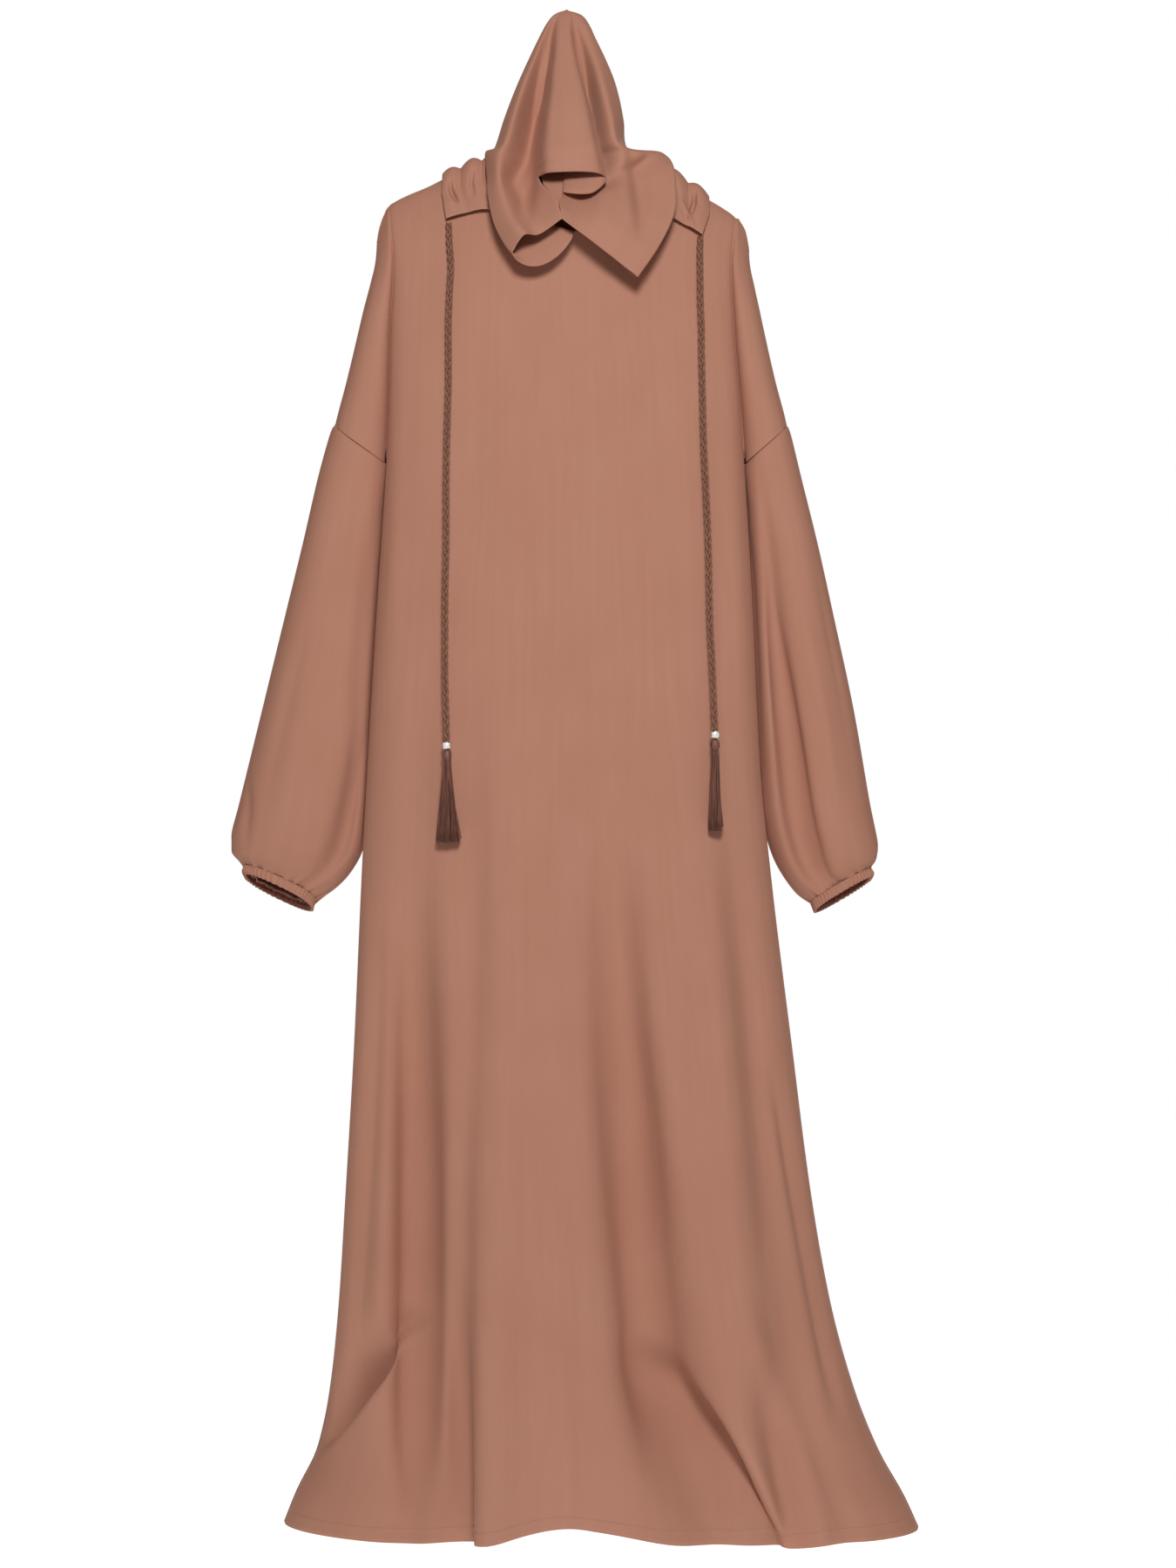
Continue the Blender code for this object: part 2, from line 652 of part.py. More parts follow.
def hood_point(column, row):
    """A point of the hood. Whole columns run round the ring, and the words mark the layers
    that turn back behind the wings."""
    if isinstance(column, tuple):
        side, step = column
        wing = (WING_LEFT if side == "left" else WING_RIGHT)[row - HEM_ROW]
        return turn_point(wing, step / TURN_STEPS if side == "left" else 1 - step / TURN_STEPS)
    span, step = divmod(column, SPAN)
    if row > HEM_ROW and span <= 5:
        points = wing_controls("left", row - HEM_ROW)[::-1]
        return along(points, (column - 2 * SPAN) / SPAN)
    if row > HEM_ROW:
        return along(wing_controls("right", row - HEM_ROW), (column - EDGE_SPAN * SPAN) / SPAN)
    points = hood_controls(row)
    if row == HEM_ROW:
        return along(points[2 : SIDE_SPAN + 1], (column - 2 * SPAN) / SPAN)
    around = [points[(span + k) % len(points)] for k in (-1, 0, 1, 2)]
    x, y, drop = curve_through(around, 1, step / SPAN)
    nape = span >= SIDE_SPAN or span < 2
    if row == NECK_ROW and nape and abs(x - NECK_X) < NECK_HALF_WIDTH - 3:
        across = (2 * x - BODY[0].left - BODY[0].right) / (BODY[0].right - BODY[0].left)
        seam = top_line(x, False)
        y = panel_depth(x, across, seam, False, shoulder_line(x)) + GAP / 2
        drop = seam - NECK_SEAM
    return (x, y, drop)


def hood(material):
    """The hood with its forehead fold and both wings, one piece of cloth."""
    around = 16 * SPAN
    whole_ring = list(range(around)) + [0]
    front = list(range(2 * SPAN, SIDE_SPAN * SPAN + 1))
    left = [("left", step) for step in range(TURN_STEPS)] + list(range(2 * SPAN, 5 * SPAN + 1))
    right = list(range(EDGE_SPAN * SPAN, SIDE_SPAN * SPAN + 1))
    right_turn = [SIDE_SPAN * SPAN] + [("right", step) for step in range(1, TURN_STEPS + 1)]
    last_left = HEM_ROW + len(WING_LEFT) - 1
    last_right = HEM_ROW + len(WING_RIGHT) - 1
    chains = [
        (whole_ring, range(NECK_ROW), True),
        (front, range(NECK_ROW, HEM_ROW), True),
        (left, range(HEM_ROW, last_left), True),
        (right, range(HEM_ROW, last_right), True),
        (right_turn, range(HEM_ROW + RIGHT_TURN_START, last_right), True),
    ]
    return sheet_object("hood", chains, hood_point, material, 0, lambda c, r: c if r else 0)


# The drawstring casing


def section_point(x, walk):
    """The dress's own surface over the shoulder at one x: walk is negative down the front and
    positive down the back, in millimetres of drop below the shoulder seam."""
    line = shoulder_line(x)
    across = (2 * x - BODY[0].left - BODY[0].right) / (BODY[0].right - BODY[0].left)
    front = walk < 0
    drop = line + abs(walk)
    out = panel_depth(x, across, drop, front, line) + GAP / 2
    return (x, -out if front else out, drop)


def lifted(x, walk, lift):
    """A point lifted off the dress's surface, square to its section over the shoulder."""
    step = 1.5
    _, y0, drop0 = section_point(x, walk - step)
    _, y1, drop1 = section_point(x, walk + step)
    _, y, drop = section_point(x, walk)
    length = math.hypot(y1 - y0, drop1 - drop0)
    lift += RIDGE_LIFT * hump(walk, 12)
    return (x, y + (drop1 - drop0) / length * lift, drop - (y1 - y0) / length * lift)


def casing_end(name, casing, material):
    """One puffed end of the casing, over a shoulder from the front hem to the back edge."""
    columns = 8
    side = 1 if casing.outer > 0 else -1

    def point(column, row):
        share = column / columns
        step = (row - CASING_ROWS) / CASING_ROWS
        length = casing.front_length if step < 0 else casing.back_length
        walk = math.copysign(length * abs(step) ** TOP_SPACING, step)
        over = 1 - abs(walk) / length
        hem_share = 1 - min(over * 1.6, 1.0) if step < 0 else 0.0
        inner = casing.inner + (casing.inner_hem - casing.inner) * hem_share
        outer = casing.outer + (casing.outer_hem - casing.outer) * hem_share
        x = outer + (inner - outer) * share
        puff = abs(math.sin(math.pi * (casing.puffs * share + casing.shift)))
        lift = WALL + CASING_LIFT + puff * (PUFF_HEM + (PUFF_TOP - PUFF_HEM) * over)
        return lifted(x, walk, lift)

    chains = [(list(range(columns + 1)), range(2 * CASING_ROWS), side > 0)]
    return sheet_object(name, chains, point, material)


def casing_band(material):
    """The gathered casing across the back of the neck, below the hood's seam."""
    columns = BAND_PLEATS * 3
    rows = 4

    def point(column, row):
        share = column / columns
        x = BAND_LEFT + (BAND_RIGHT - BAND_LEFT) * share
        start = top_line(x, False) - shoulder_line(x) + 3
        walk = start + (BAND_LENGTH - start) * row / rows
        pleat = BAND_PLEAT_DEPTH * (0.5 - 0.5 * math.cos(2 * math.pi * BAND_PLEATS * share))
        return lifted(x, walk, WALL + CASING_LIFT + pleat * (0.4 + 0.6 * row / rows))

    chains = [(list(range(columns + 1)), range(rows), False)]
    return sheet_object("casing_back", chains, point, material)


# The drawstrings


def cord(name, route, material):
    """A braided drawstring as a plain tube on a smooth curve through its route."""
    points = [Vector((p.x, -p.fore, -p.drop)) * MM for p in route]
    line = []
    for span in range(len(points) - 1):
        count = max(round((points[span + 1] - points[span]).length / (BRAID_STEP * MM)), 1)
        line += [Vector(curve_through(points, span, step / count)) for step in range(count)]
    line.append(points[-1])
    curve = bpy.data.curves.new(name, "CURVE")
    curve.dimensions = "3D"
    curve.bevel_depth = BRAID_DIAMETER / 2 * MM
    curve.bevel_resolution = 2
    curve.use_fill_caps = True
    spline = curve.splines.new("POLY")
    spline.points.add(len(line) - 1)
    for control, place_on_line in zip(spline.points, line):
        control.co = (*place_on_line, 1.0)
    thing = bpy.data.objects.new(name, curve)
    curve.materials.append(material)
    dress.objects.link(thing)
    return thing


def bead(name, centre, material):
    """A faceted ball with flat ends, where the braid and the tassel meet it."""
    ball = bmesh.new()
    bmesh.ops.create_uvsphere(ball, u_segments=10, v_segments=8, radius=BEAD_RADIUS * MM)
    limit = BEAD_RADIUS * BEAD_FLAT * MM
    for vertex in ball.verts:
        vertex.co.z = min(max(vertex.co.z, -limit), limit)
    mesh = bpy.data.meshes.new(name)
    ball.to_mesh(mesh)
    ball.free()
    thing = place(name, mesh, material)
    thing.location = centre
    return thing


def strand_mesh(tassel):
    """The tassel's threads, three-sided, spread from the head's underside to the ends."""
    threads = bmesh.new()
    for index in range(STRANDS):
        share = math.sqrt((index + 0.5) / STRANDS)
        angle = index * GOLDEN_ANGLE
        direction = Vector((math.cos(angle), math.sin(angle), 0))
        uneven = STRAND_UNEVEN * math.sin(index * 2.4)
        stations = (
            (0.80 * HEAD_RADIUS * share, 0.80 * HEAD_RADIUS * share, -HEAD_LENGTH * 0.6, STRAND_ROOT),
            (tassel.half_width * 0.62 * share, tassel.half_depth * 0.72 * share, -tassel.length * 0.5, 0.6),
            (tassel.half_width * share, tassel.half_depth * share, -tassel.length - uneven, STRAND_END),
        )
        rings = []
        for wide, deep, height, radius in stations:
            middle = Vector((direction.x * wide, direction.y * deep, height))
            ring = []
            for corner in range(3):
                turn = angle + corner * math.tau / 3
                offset = Vector((math.cos(turn), math.sin(turn), 0)) * radius
                ring.append(threads.verts.new((middle + offset) * MM))
            rings.append(ring)
        for upper, lower in zip(rings, rings[1:]):
            for corner in range(3):
                after = (corner + 1) % 3
                threads.faces.new((upper[corner], lower[corner], lower[after], upper[after]))
        threads.faces.new(rings[0])
        threads.faces.new(rings[-1][::-1])
    mesh = bpy.data.meshes.new("tassel_threads")
    threads.to_mesh(mesh)
    threads.free()
    return mesh


def tassel_object(name, top, tassel, material):
    """A tassel: its threads fused into a bound head."""
    strands = place(name + "_threads", strand_mesh(tassel), material, joining)
    strands.location = top
    strands.hide_render = True
    strands.display_type = "WIRE"
    head = bmesh.new()
    bmesh.ops.create_cone(
        head,
        cap_ends=True,
        segments=12,
        radius1=HEAD_RADIUS * MM,
        radius2=HEAD_RADIUS * 0.7 * MM,
        depth=HEAD_LENGTH * MM,
    )
    bmesh.ops.translate(head, verts=head.verts, vec=(0, 0, -HEAD_LENGTH / 2 * MM))
    mesh = bpy.data.meshes.new(name)
    head.to_mesh(mesh)
    head.free()
    thing = place(name, mesh, material)
    thing.location = top
    join = thing.modifiers.new("threads", "BOOLEAN")
    join.operation = "UNION"
    join.solver = "EXACT"
    join.object = strands
    return thing


def drawstring(side, route, tassel):
    """One drawstring with its bead and tassel."""
    cord("cord_" + side, route, finish("braid_" + side, BRAID, 0.85))
    end = Vector((route[-1].x, -route[-1].fore, -route[-1].drop))
    flat = BEAD_RADIUS * BEAD_FLAT
    centre = end - Vector((0, 0, flat + GAP))
    bead("bead_" + side, centre * MM, finish("silver_" + side, SILVER, 0.25, 1.0))
    top = centre - Vector((0, 0, flat + GAP))
    tassel_object("tassel_" + side, top * MM, tassel, finish("thread_" + side, THREAD, 0.8))


# The whole dress
panel("front", True, 34, 8, 16, 6, finish("crepe_front", CREPE, 0.85))
panel("back", False, 28, 8, 12, 6, finish("crepe_back", CREPE, 0.85))
for side_name, sign, sleeve_rings, cuff_rings, sleeve_fold in (
    ("left", -1, SLEEVE_LEFT, CUFF_LEFT, SLEEVE_FOLD_LEFT),
    ("right", 1, SLEEVE_RIGHT, CUFF_RIGHT, SLEEVE_FOLD_RIGHT),
):
    fullness = (0, 0, 0, 0, 0, 0, 0, 0.5, 1.0, GATHER_DEPTH)
    tube(
        "sleeve_" + side_name,
        sleeve_rings,
        30,
        sign,
        finish("crepe_sleeve_" + side_name, CREPE, 0.85),
        fold=sleeve_fold,
        gathers=fullness,
    )
    tube(
        "cuff_" + side_name,
        cuff_rings,
        30,
        sign,
        finish("crepe_cuff_" + side_name, CREPE, 0.85),
        gathers=(GATHER_DEPTH, GATHER_DEPTH, GATHER_DEPTH),
    )
hood(finish("crepe_hood", CREPE, 0.85))
casing_end("casing_left", CASING_LEFT, finish("crepe_casing_left", CREPE, 0.85))
casing_end("casing_right", CASING_RIGHT, finish("crepe_casing_right", CREPE, 0.85))
casing_band(finish("crepe_casing_back", CREPE, 0.85))
drawstring("left", ROUTE_LEFT, TASSEL_LEFT)
drawstring("right", ROUTE_RIGHT, TASSEL_RIGHT)
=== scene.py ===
"""Hooded dress in terracotta crepe, hung by the tip of its hood, with a braided drawstring.

Left and right are as seen from the front, which faces -Y. The tables are in millimetres: drop
is the depth below the hood's tip, fore is how far a surface lies in front of the shoulder seams
and aft how far behind them. Each cloth piece is a thin shell on its solid's form, cut finer and
with its creases pressed in.
"""
import math
from collections import namedtuple

import bmesh
import bpy
import numpy as np
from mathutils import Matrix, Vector


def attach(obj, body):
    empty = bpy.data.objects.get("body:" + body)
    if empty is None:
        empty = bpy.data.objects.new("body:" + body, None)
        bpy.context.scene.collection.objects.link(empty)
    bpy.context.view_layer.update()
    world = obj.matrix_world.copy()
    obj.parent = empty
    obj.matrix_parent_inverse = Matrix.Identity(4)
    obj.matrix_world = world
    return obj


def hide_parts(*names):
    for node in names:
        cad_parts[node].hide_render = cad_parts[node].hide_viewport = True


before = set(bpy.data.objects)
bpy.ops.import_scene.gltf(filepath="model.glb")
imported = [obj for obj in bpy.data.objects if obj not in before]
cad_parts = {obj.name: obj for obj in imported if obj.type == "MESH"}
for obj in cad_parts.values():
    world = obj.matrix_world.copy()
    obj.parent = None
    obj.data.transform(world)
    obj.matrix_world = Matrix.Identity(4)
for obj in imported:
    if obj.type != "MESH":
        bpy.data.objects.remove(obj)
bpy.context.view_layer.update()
MM = 0.001


# What every piece uses: colours, nodes and materials, and a piece's place in the scene and on
# the dress.
def colour(hex_code):
    """An sRGB hex value as the linear colour that a socket takes."""
    parts = (int(hex_code[i : i + 2], 16) / 255 for i in (1, 3, 5))
    return (*(p / 12.92 if p <= 0.04045 else ((p + 0.055) / 1.055) ** 2.4 for p in parts), 1.0)


def add(tree, kind, inputs=None, **settings):
    """One node with its settings and its inputs, each a value or the socket that feeds it."""
    made = tree.nodes.new(kind)
    for name, value in settings.items():
        setattr(made, name, value)
    for name, value in (inputs or {}).items():
        if isinstance(value, bpy.types.NodeSocket):
            tree.links.new(value, made.inputs[name])
        else:
            made.inputs[name].default_value = value
    return made


def placed(name, data):
    """A new object in the scene."""
    thing = bpy.data.objects.new(name, data)
    bpy.context.scene.collection.objects.link(thing)
    return thing


def meshed(name, build):
    """A mesh from a finished build of faces."""
    mesh = bpy.data.meshes.new(name)
    build.to_mesh(mesh)
    build.free()
    return mesh


def shader_material(name, finish):
    """A material whose shader has these values, with its node tree and its shader."""
    made = bpy.data.materials.new(name)
    made.use_nodes = True
    shader = made.node_tree.nodes["Principled BSDF"]
    for socket, value in finish.items():
        shader.inputs[socket].default_value = value
    return made, made.node_tree, shader


def noise(tree, where, scale, detail, roughness=0.5):
    """Soft random light and dark, with finer steps in it as detail rises."""
    given = {"Vector": where, "Scale": scale, "Detail": detail, "Roughness": roughness}
    return add(tree, "ShaderNodeTexNoise", given).outputs[0]


def stretched(tree, where, steps):
    """A place counted in steps of so many millimetres, one for each axis."""
    scale = tuple(1 / (step * MM) for step in steps)
    return add(tree, "ShaderNodeMapping", {"Vector": where, "Scale": scale}).outputs[0]


def ranged(tree, value, low, high, to_low=0.0, to_high=1.0):
    """A value carried from one range to another."""
    given = {"Value": value, "From Min": low, "From Max": high, "To Min": to_low, "To Max": to_high}
    return add(tree, "ShaderNodeMapRange", given).outputs[0]


def dyed(tree, share, dark, light):
    """A colour part of the way from a dark dye to a light one."""
    given = {0: share, 6: colour(dark), 7: colour(light)}
    return add(tree, "ShaderNodeMix", given, data_type="RGBA").outputs[2]


def pebbled(tree, shader, height, strength, depth):
    """Presses a height into a shader's surface as fine relief, depth in millimetres."""
    given = {"Strength": strength, "Distance": depth * MM, "Height": height}
    relief = add(tree, "ShaderNodeBump", given)
    tree.links.new(relief.outputs[0], shader.inputs["Normal"])


def on_dress(thing, node):
    """Hangs a piece on the dress in place of its solid."""
    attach(thing, "root")
    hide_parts(node)


# The room: the dress hangs clear of a plain pale floor, under a soft box above the camera and
# nearly in line with it. The camera looks at it level, three metres off, in an upright frame.
CAMERA_SIDE = 0.0238
CAMERA_AWAY = 3.0
CAMERA_DROP = 0.8125
FRAME_HEIGHT = 1.647
SENSOR = 36.0
FLOOR_DROP = 1.95
FLOOR_RADIUS = 1.9
FLOOR_SIDES = 96
ROOM_WHITE = "#FFFFFF"
FLOOR_FINISH = {
    "Base Color": colour("#B8B8B8"),
    "Roughness": 0.95,
    "Emission Color": colour(ROOM_WHITE),
    "Emission Strength": 0.9,
}
ROOM_BOUNCE = "#FFD6C4"
ROOM_LIGHT = 0.12
Lamp = namedtuple("Lamp", "name place size power")
LAMPS = (
    Lamp("key_light", (0.12, -2.3, 0.4), 0.5, 44),
    Lamp("fill_light", (0.3, -3.6, -1.1), 2.0, 3),
    Lamp("back_light", (0.6, 3.0, 0.4), 2.0, 30),
)

lens = bpy.data.cameras.new("camera")
lens.sensor_fit = "VERTICAL"
lens.sensor_height = SENSOR
lens.lens = SENSOR * CAMERA_AWAY / FRAME_HEIGHT
camera = placed("camera", lens)
camera.location = (CAMERA_SIDE, -CAMERA_AWAY, -CAMERA_DROP)
camera.rotation_euler = (math.pi / 2, 0, 0)
bpy.context.scene.camera = camera
bpy.context.scene.view_settings.view_transform = "Standard"

for lamp in LAMPS:
    light = bpy.data.lights.new(lamp.name, "AREA")
    light.shape = "SQUARE"
    light.size = lamp.size
    light.energy = lamp.power
    box = placed(lamp.name, light)
    box.location = lamp.place
    aim = Vector((0, 0, -CAMERA_DROP)) - Vector(lamp.place)
    box.rotation_euler = aim.to_track_quat("-Z", "Y").to_euler()

world = bpy.data.worlds.new("pale_room")
bpy.context.scene.world = world
world.use_nodes = True
air = world.node_tree
air.nodes.clear()
seen = add(air, "ShaderNodeBackground", {"Color": colour(ROOM_WHITE), "Strength": 1.0})
shed = add(air, "ShaderNodeBackground", {"Color": colour(ROOM_BOUNCE), "Strength": ROOM_LIGHT})
rays = add(air, "ShaderNodeLightPath").outputs
looked_at = {0: rays["Is Camera Ray"], 1: rays["Is Glossy Ray"]}
mirrored = add(air, "ShaderNodeMath", looked_at, operation="MAXIMUM").outputs[0]
lit = add(air, "ShaderNodeMixShader", {0: mirrored, 1: shed.outputs[0], 2: seen.outputs[0]})
add(air, "ShaderNodeOutputWorld", {"Surface": lit.outputs[0]})

ground = bmesh.new()
bmesh.ops.create_circle(ground, cap_ends=True, segments=FLOOR_SIDES, radius=FLOOR_RADIUS)
bmesh.ops.translate(ground, verts=ground.verts, vec=(0, 0, -FLOOR_DROP))
floor = placed("floor", meshed("floor", ground))
floor.data.materials.append(shader_material("matt_white_paint", FLOOR_FINISH)[0])


# The cloth: a soft matt crepe of fine viscose, dyed a brownish terracotta. Crepe yarn is twisted
# hard, which pebbles the surface, and the dye takes a little unevenly along the warp.
CREPE_LIGHT = "#B6846F"
CREPE_DEEP = "#B27F6A"
PEBBLE_MM = 1.4
STREAK_MM = (9.0, 160.0, 1000.0)
CLOUD_MM = 90.0
DYE_RANGE = (0.12, 0.40)
CREPE_FINISH = {
    "Roughness": 0.86,
    "Specular IOR Level": 0.25,
    "Sheen Weight": 0.12,
    "Sheen Roughness": 0.5,
    "Sheen Tint": colour("#E2B8A4"),
}
CREASE_FADE = 1.3
WELD = 0.03
CLOTH = 0.8
SEAM_GAP = 0.3


def crepe(name):
    """Dyed crepe: pebbled by its twisted yarn, streaked a little along the warp, with the soft
    sheen that short fibres give at a grazing view."""
    material, tree, shader = shader_material(name, CREPE_FINISH)
    where = add(tree, "ShaderNodeUVMap", uv_map="cloth").outputs[0]
    streaks = noise(tree, stretched(tree, where, STREAK_MM), 1.0, 3.0, 0.6)
    clouds = noise(tree, where, 1 / (CLOUD_MM * MM), 2.0)
    both = add(tree, "ShaderNodeMath", {0: streaks, 1: clouds}, operation="MULTIPLY")
    share = ranged(tree, both.outputs[0], *DYE_RANGE)
    tree.links.new(dyed(tree, share, CREPE_DEEP, CREPE_LIGHT), shader.inputs["Base Color"])
    pebbled(tree, shader, noise(tree, where, 1 / (PEBBLE_MM * MM), 2.0, 0.7), 0.35, 0.25)
    return material


def unit(rows):
    """Directions made one long."""
    return rows / np.linalg.norm(rows, axis=-1, keepdims=True)


def running(steps):
    """The running total of some steps, from 0."""
    return np.concatenate([[0], np.cumsum(steps)])


def between(keys, values, at):
    """A smooth curve through values at rising keys, flat past both ends, that doesn't overshoot."""
    keys = np.asarray(keys, float)
    values = np.asarray(values, float)
    at = np.clip(at, keys[0], keys[-1])
    low = np.clip(np.searchsorted(keys, at, side="right") - 1, 0, len(keys) - 2)
    steps = np.diff(values) / np.diff(keys)
    before, after = steps[:-1], steps[1:]
    total = np.where(before * after > 0, before + after, 1.0)
    inner = np.where(before * after > 0, 2 * before * after / total, 0.0)
    slopes = np.concatenate([steps[:1], inner, steps[-1:]])
    width = keys[low + 1] - keys[low]
    t = (at - keys[low]) / width
    rise = t * t * (3 - 2 * t)
    pull = width * (slopes[low] * t * (1 - t) ** 2 - slopes[low + 1] * t * t * (1 - t))
    return values[low] + (values[low + 1] - values[low]) * rise + pull


def read(rows, name, at, by="drop"):
    """One column of a table between its rows."""
    return between([getattr(row, by) for row in rows], [getattr(row, name) for row in rows], at)


def hump(distance, width):
    """A soft round hump, 1 at its middle."""
    return np.exp(-((distance / width) ** 2))


def power(value, exponent):
    """A signed power, for rounded square sections."""
    return np.sign(value) * np.abs(value) ** exponent


def facing_out(grid, outwards, closed=False):
    """The unit normals of a grid of points, rows down and columns across."""
    if closed:
        wide = np.concatenate([grid[:, -2:-1], grid, grid[:, 1:2]], axis=1)
        across = (wide[:, 2:] - wide[:, :-2]) / 2
    else:
        across = np.gradient(grid, axis=1)
    down = np.gradient(grid, axis=0)
    normal = np.cross(across, down) * (1 if outwards else -1)
    length = np.linalg.norm(normal, axis=2, keepdims=True)
    return normal / np.maximum(length, 1e-12)


def pressed(grid, amount, outwards, closed=False):
    """A grid with each point moved out along its normal, in millimetres."""
    return grid + facing_out(grid, outwards, closed) * amount[..., None]


Crease = namedtuple("Crease", "x drop to_x to_drop bow left right push")


def crease_push(creases, x, drop):
    """How far the given creases push the cloth out: each runs from one point to another, bowed
    to one side, with its own half-width on its left and its right, and dies out at its ends."""
    total = np.zeros(np.broadcast(x, drop).shape)
    for c in creases:
        run_x, run_drop = c.to_x - c.x, c.to_drop - c.drop
        length = math.hypot(run_x, run_drop)
        t = ((x - c.x) * run_x + (drop - c.drop) * run_drop) / length**2
        inside = np.clip(t, 0, 1)
        bell = 4 * inside * (1 - inside)
        side = (run_drop * (x - c.x) - run_x * (drop - c.drop)) / length - c.bow * bell
        width = np.where(side < 0, c.left, c.right)
        total += c.push * hump(side, width) * bell**CREASE_FADE
    return total


def turned_up(grid, depth, outwards, closed=False, gap=1.1):
    """A grid with its last rows turned up inside it as a hem of some depth."""
    middle = grid[:, grid.shape[1] // 2]
    steps = np.linalg.norm(np.diff(middle, axis=0), axis=1)[::-1]
    count = max(int(np.searchsorted(np.cumsum(steps), depth)) + 1, 2)
    normals = facing_out(grid, outwards, closed)
    inner = (grid - normals * gap)[-2 : -count - 2 : -1]
    edge = (grid[-1:] + normals[-1:] * -gap / 2) + (grid[-1:] - grid[-2:-1]) * 0.1
    return np.concatenate([grid, edge, inner])


def cloth(name, grids, material, node, wall=CLOTH):
    """One piece of cloth from grids of points that meet edge to edge, welded, with its wall
    inwards. Its UVs are the cloth's own metres, across and down."""
    points, faces, uvs = [], [], []
    base = 0
    for grid, outwards in grids:
        rows, columns = grid.shape[:2]
        index = base + np.arange(rows * columns).reshape(rows, columns)
        quads = np.stack([index[:-1, :-1], index[1:, :-1], index[1:, 1:], index[:-1, 1:]], -1)
        quads = quads.reshape(-1, 4)
        faces.append(quads if outwards else quads[:, ::-1])
        u = running(np.linalg.norm(np.diff(grid, axis=1), axis=2).mean(axis=0))
        v = running(np.linalg.norm(np.diff(grid, axis=0), axis=2).mean(axis=1))
        uvs.append(np.stack(np.meshgrid(u, v), -1).reshape(-1, 2) * MM)
        points.append(grid.reshape(-1, 3))
        base += rows * columns
    points = np.concatenate(points)
    points = np.stack([points[:, 0], points[:, 1], -points[:, 2]], -1) * MM
    faces = np.concatenate(faces)
    uvs = np.concatenate(uvs)
    mesh = bpy.data.meshes.new(name)
    mesh.from_pydata(points.tolist(), [], faces.tolist())
    layer = mesh.uv_layers.new(name="cloth")
    layer.data.foreach_set("uv", uvs[faces.reshape(-1)].reshape(-1))
    weld = bmesh.new()
    weld.from_mesh(mesh)
    bmesh.ops.remove_doubles(weld, verts=weld.verts, dist=WELD * MM)
    weld.to_mesh(mesh)
    weld.free()
    mesh.shade_smooth()
    mesh.materials.append(material)
    thing = placed(name, mesh)
    shell = thing.modifiers.new("wall", "SOLIDIFY")
    shell.thickness = wall * MM
    shell.offset = -1
    on_dress(thing, node)
    return thing


# The body: a front and a back panel, cut from crepe in one with the dropped shoulders, sewn
# together at the shoulders and sides, and hemmed. The front's neckline is cut lower.
Body = namedtuple("Body", "drop left right front back square")
BODY = (
    Body(200, -186, 181, 25, 24, 3.2),
    Body(270, -180, 174, 37, 34, 3.2),
    Body(339, -183, 177, 46, 42, 3.2),
    Body(433, -186, 185, 52, 48, 3.1),
    Body(489, -189, 189, 55, 50, 3.0),
    Body(627, -198, 197, 59, 54, 3.0),
    Body(796, -208, 205, 65, 58, 2.9),
    Body(908, -214, 216, 69, 61, 2.8),
    Body(1087, -222, 238, 78, 68, 2.6),
    Body(1243, -231, 258, 88, 76, 2.4),
    Body(1356, -238, 278, 97, 84, 2.3),
    Body(1444, -247, 302, 106, 91, 2.2),
    Body(1507, -260, 327, 113, 97, 2.1),
    Body(1555, -283, 354, 120, 102, 2.0),
    Body(1590, -297, 370, 124, 106, 1.9),
)
HEM_DROP = 1586
HEM_LIFT = 15
HEM_LIFT_X = -30
HEM_LIFT_WIDTH = 85
HEM_RIGHT_FORE = 24
LEAN_DROP = 1100
TOP_SPACING = 1.8
ARMPIT_SLIT = 0.3 / 6
ARMPIT_START = 7 / 8
ARMPIT_POWER = 4
LOW_SPACING = 0.9
HEM_LIFT_POWER = 6
HEM_LIFT_SPREAD = 1.6
SHOULDER_ROUND = 40
NECK_STEEPER = 15
NECK_STEEPER_WIDTH = 80
ROUND_POWER = 0.7
ARM_SETTLE = 2.5

Shoulder = namedtuple("Shoulder", "x drop")
SHOULDER = (
    Shoulder(-198, 243),
    Shoulder(-196, 231),
    Shoulder(-191, 216),
    Shoulder(-184, 205),
    Shoulder(-176, 200),
    Shoulder(-163, 194),
    Shoulder(-146, 187),
    Shoulder(-128, 178),
    Shoulder(-78, 160),
    Shoulder(6, 155),
    Shoulder(90, 163),
    Shoulder(124, 182),
    Shoulder(151, 200),
    Shoulder(165, 208),
    Shoulder(181, 219),
    Shoulder(189, 231),
    Shoulder(191, 239),
    Shoulder(193, 250),
)
NECK_X = 6
NECK_HALF_WIDTH = 84
NECK_DIP_FRONT = 86
NECK_DIP_BACK = 20
NECK_SWELL = 22
NECK_SWELL_WIDTH = 75
NECK_SWELL_DROP = 200
NECK_SWELL_HEIGHT = 70

Arm = namedtuple("Arm", "drop left right groove swell")
ARM = (
    Arm(205, -190, 185, 22, 3),
    Arm(243, -198, 192, 20, 8),
    Arm(264, -200, 194, 17, 13),
    Arm(320, -213, 205, 12, 22),
    Arm(392, -230, 221, 9, 27),
    Arm(430, -240, 231, 5, 29),
    Arm(475, -250, 240, 0, 30),
)
SEAM_DROP_OUTER = 437
SEAM_DROP_INNER = 475
RING_SQUARE = 2.4

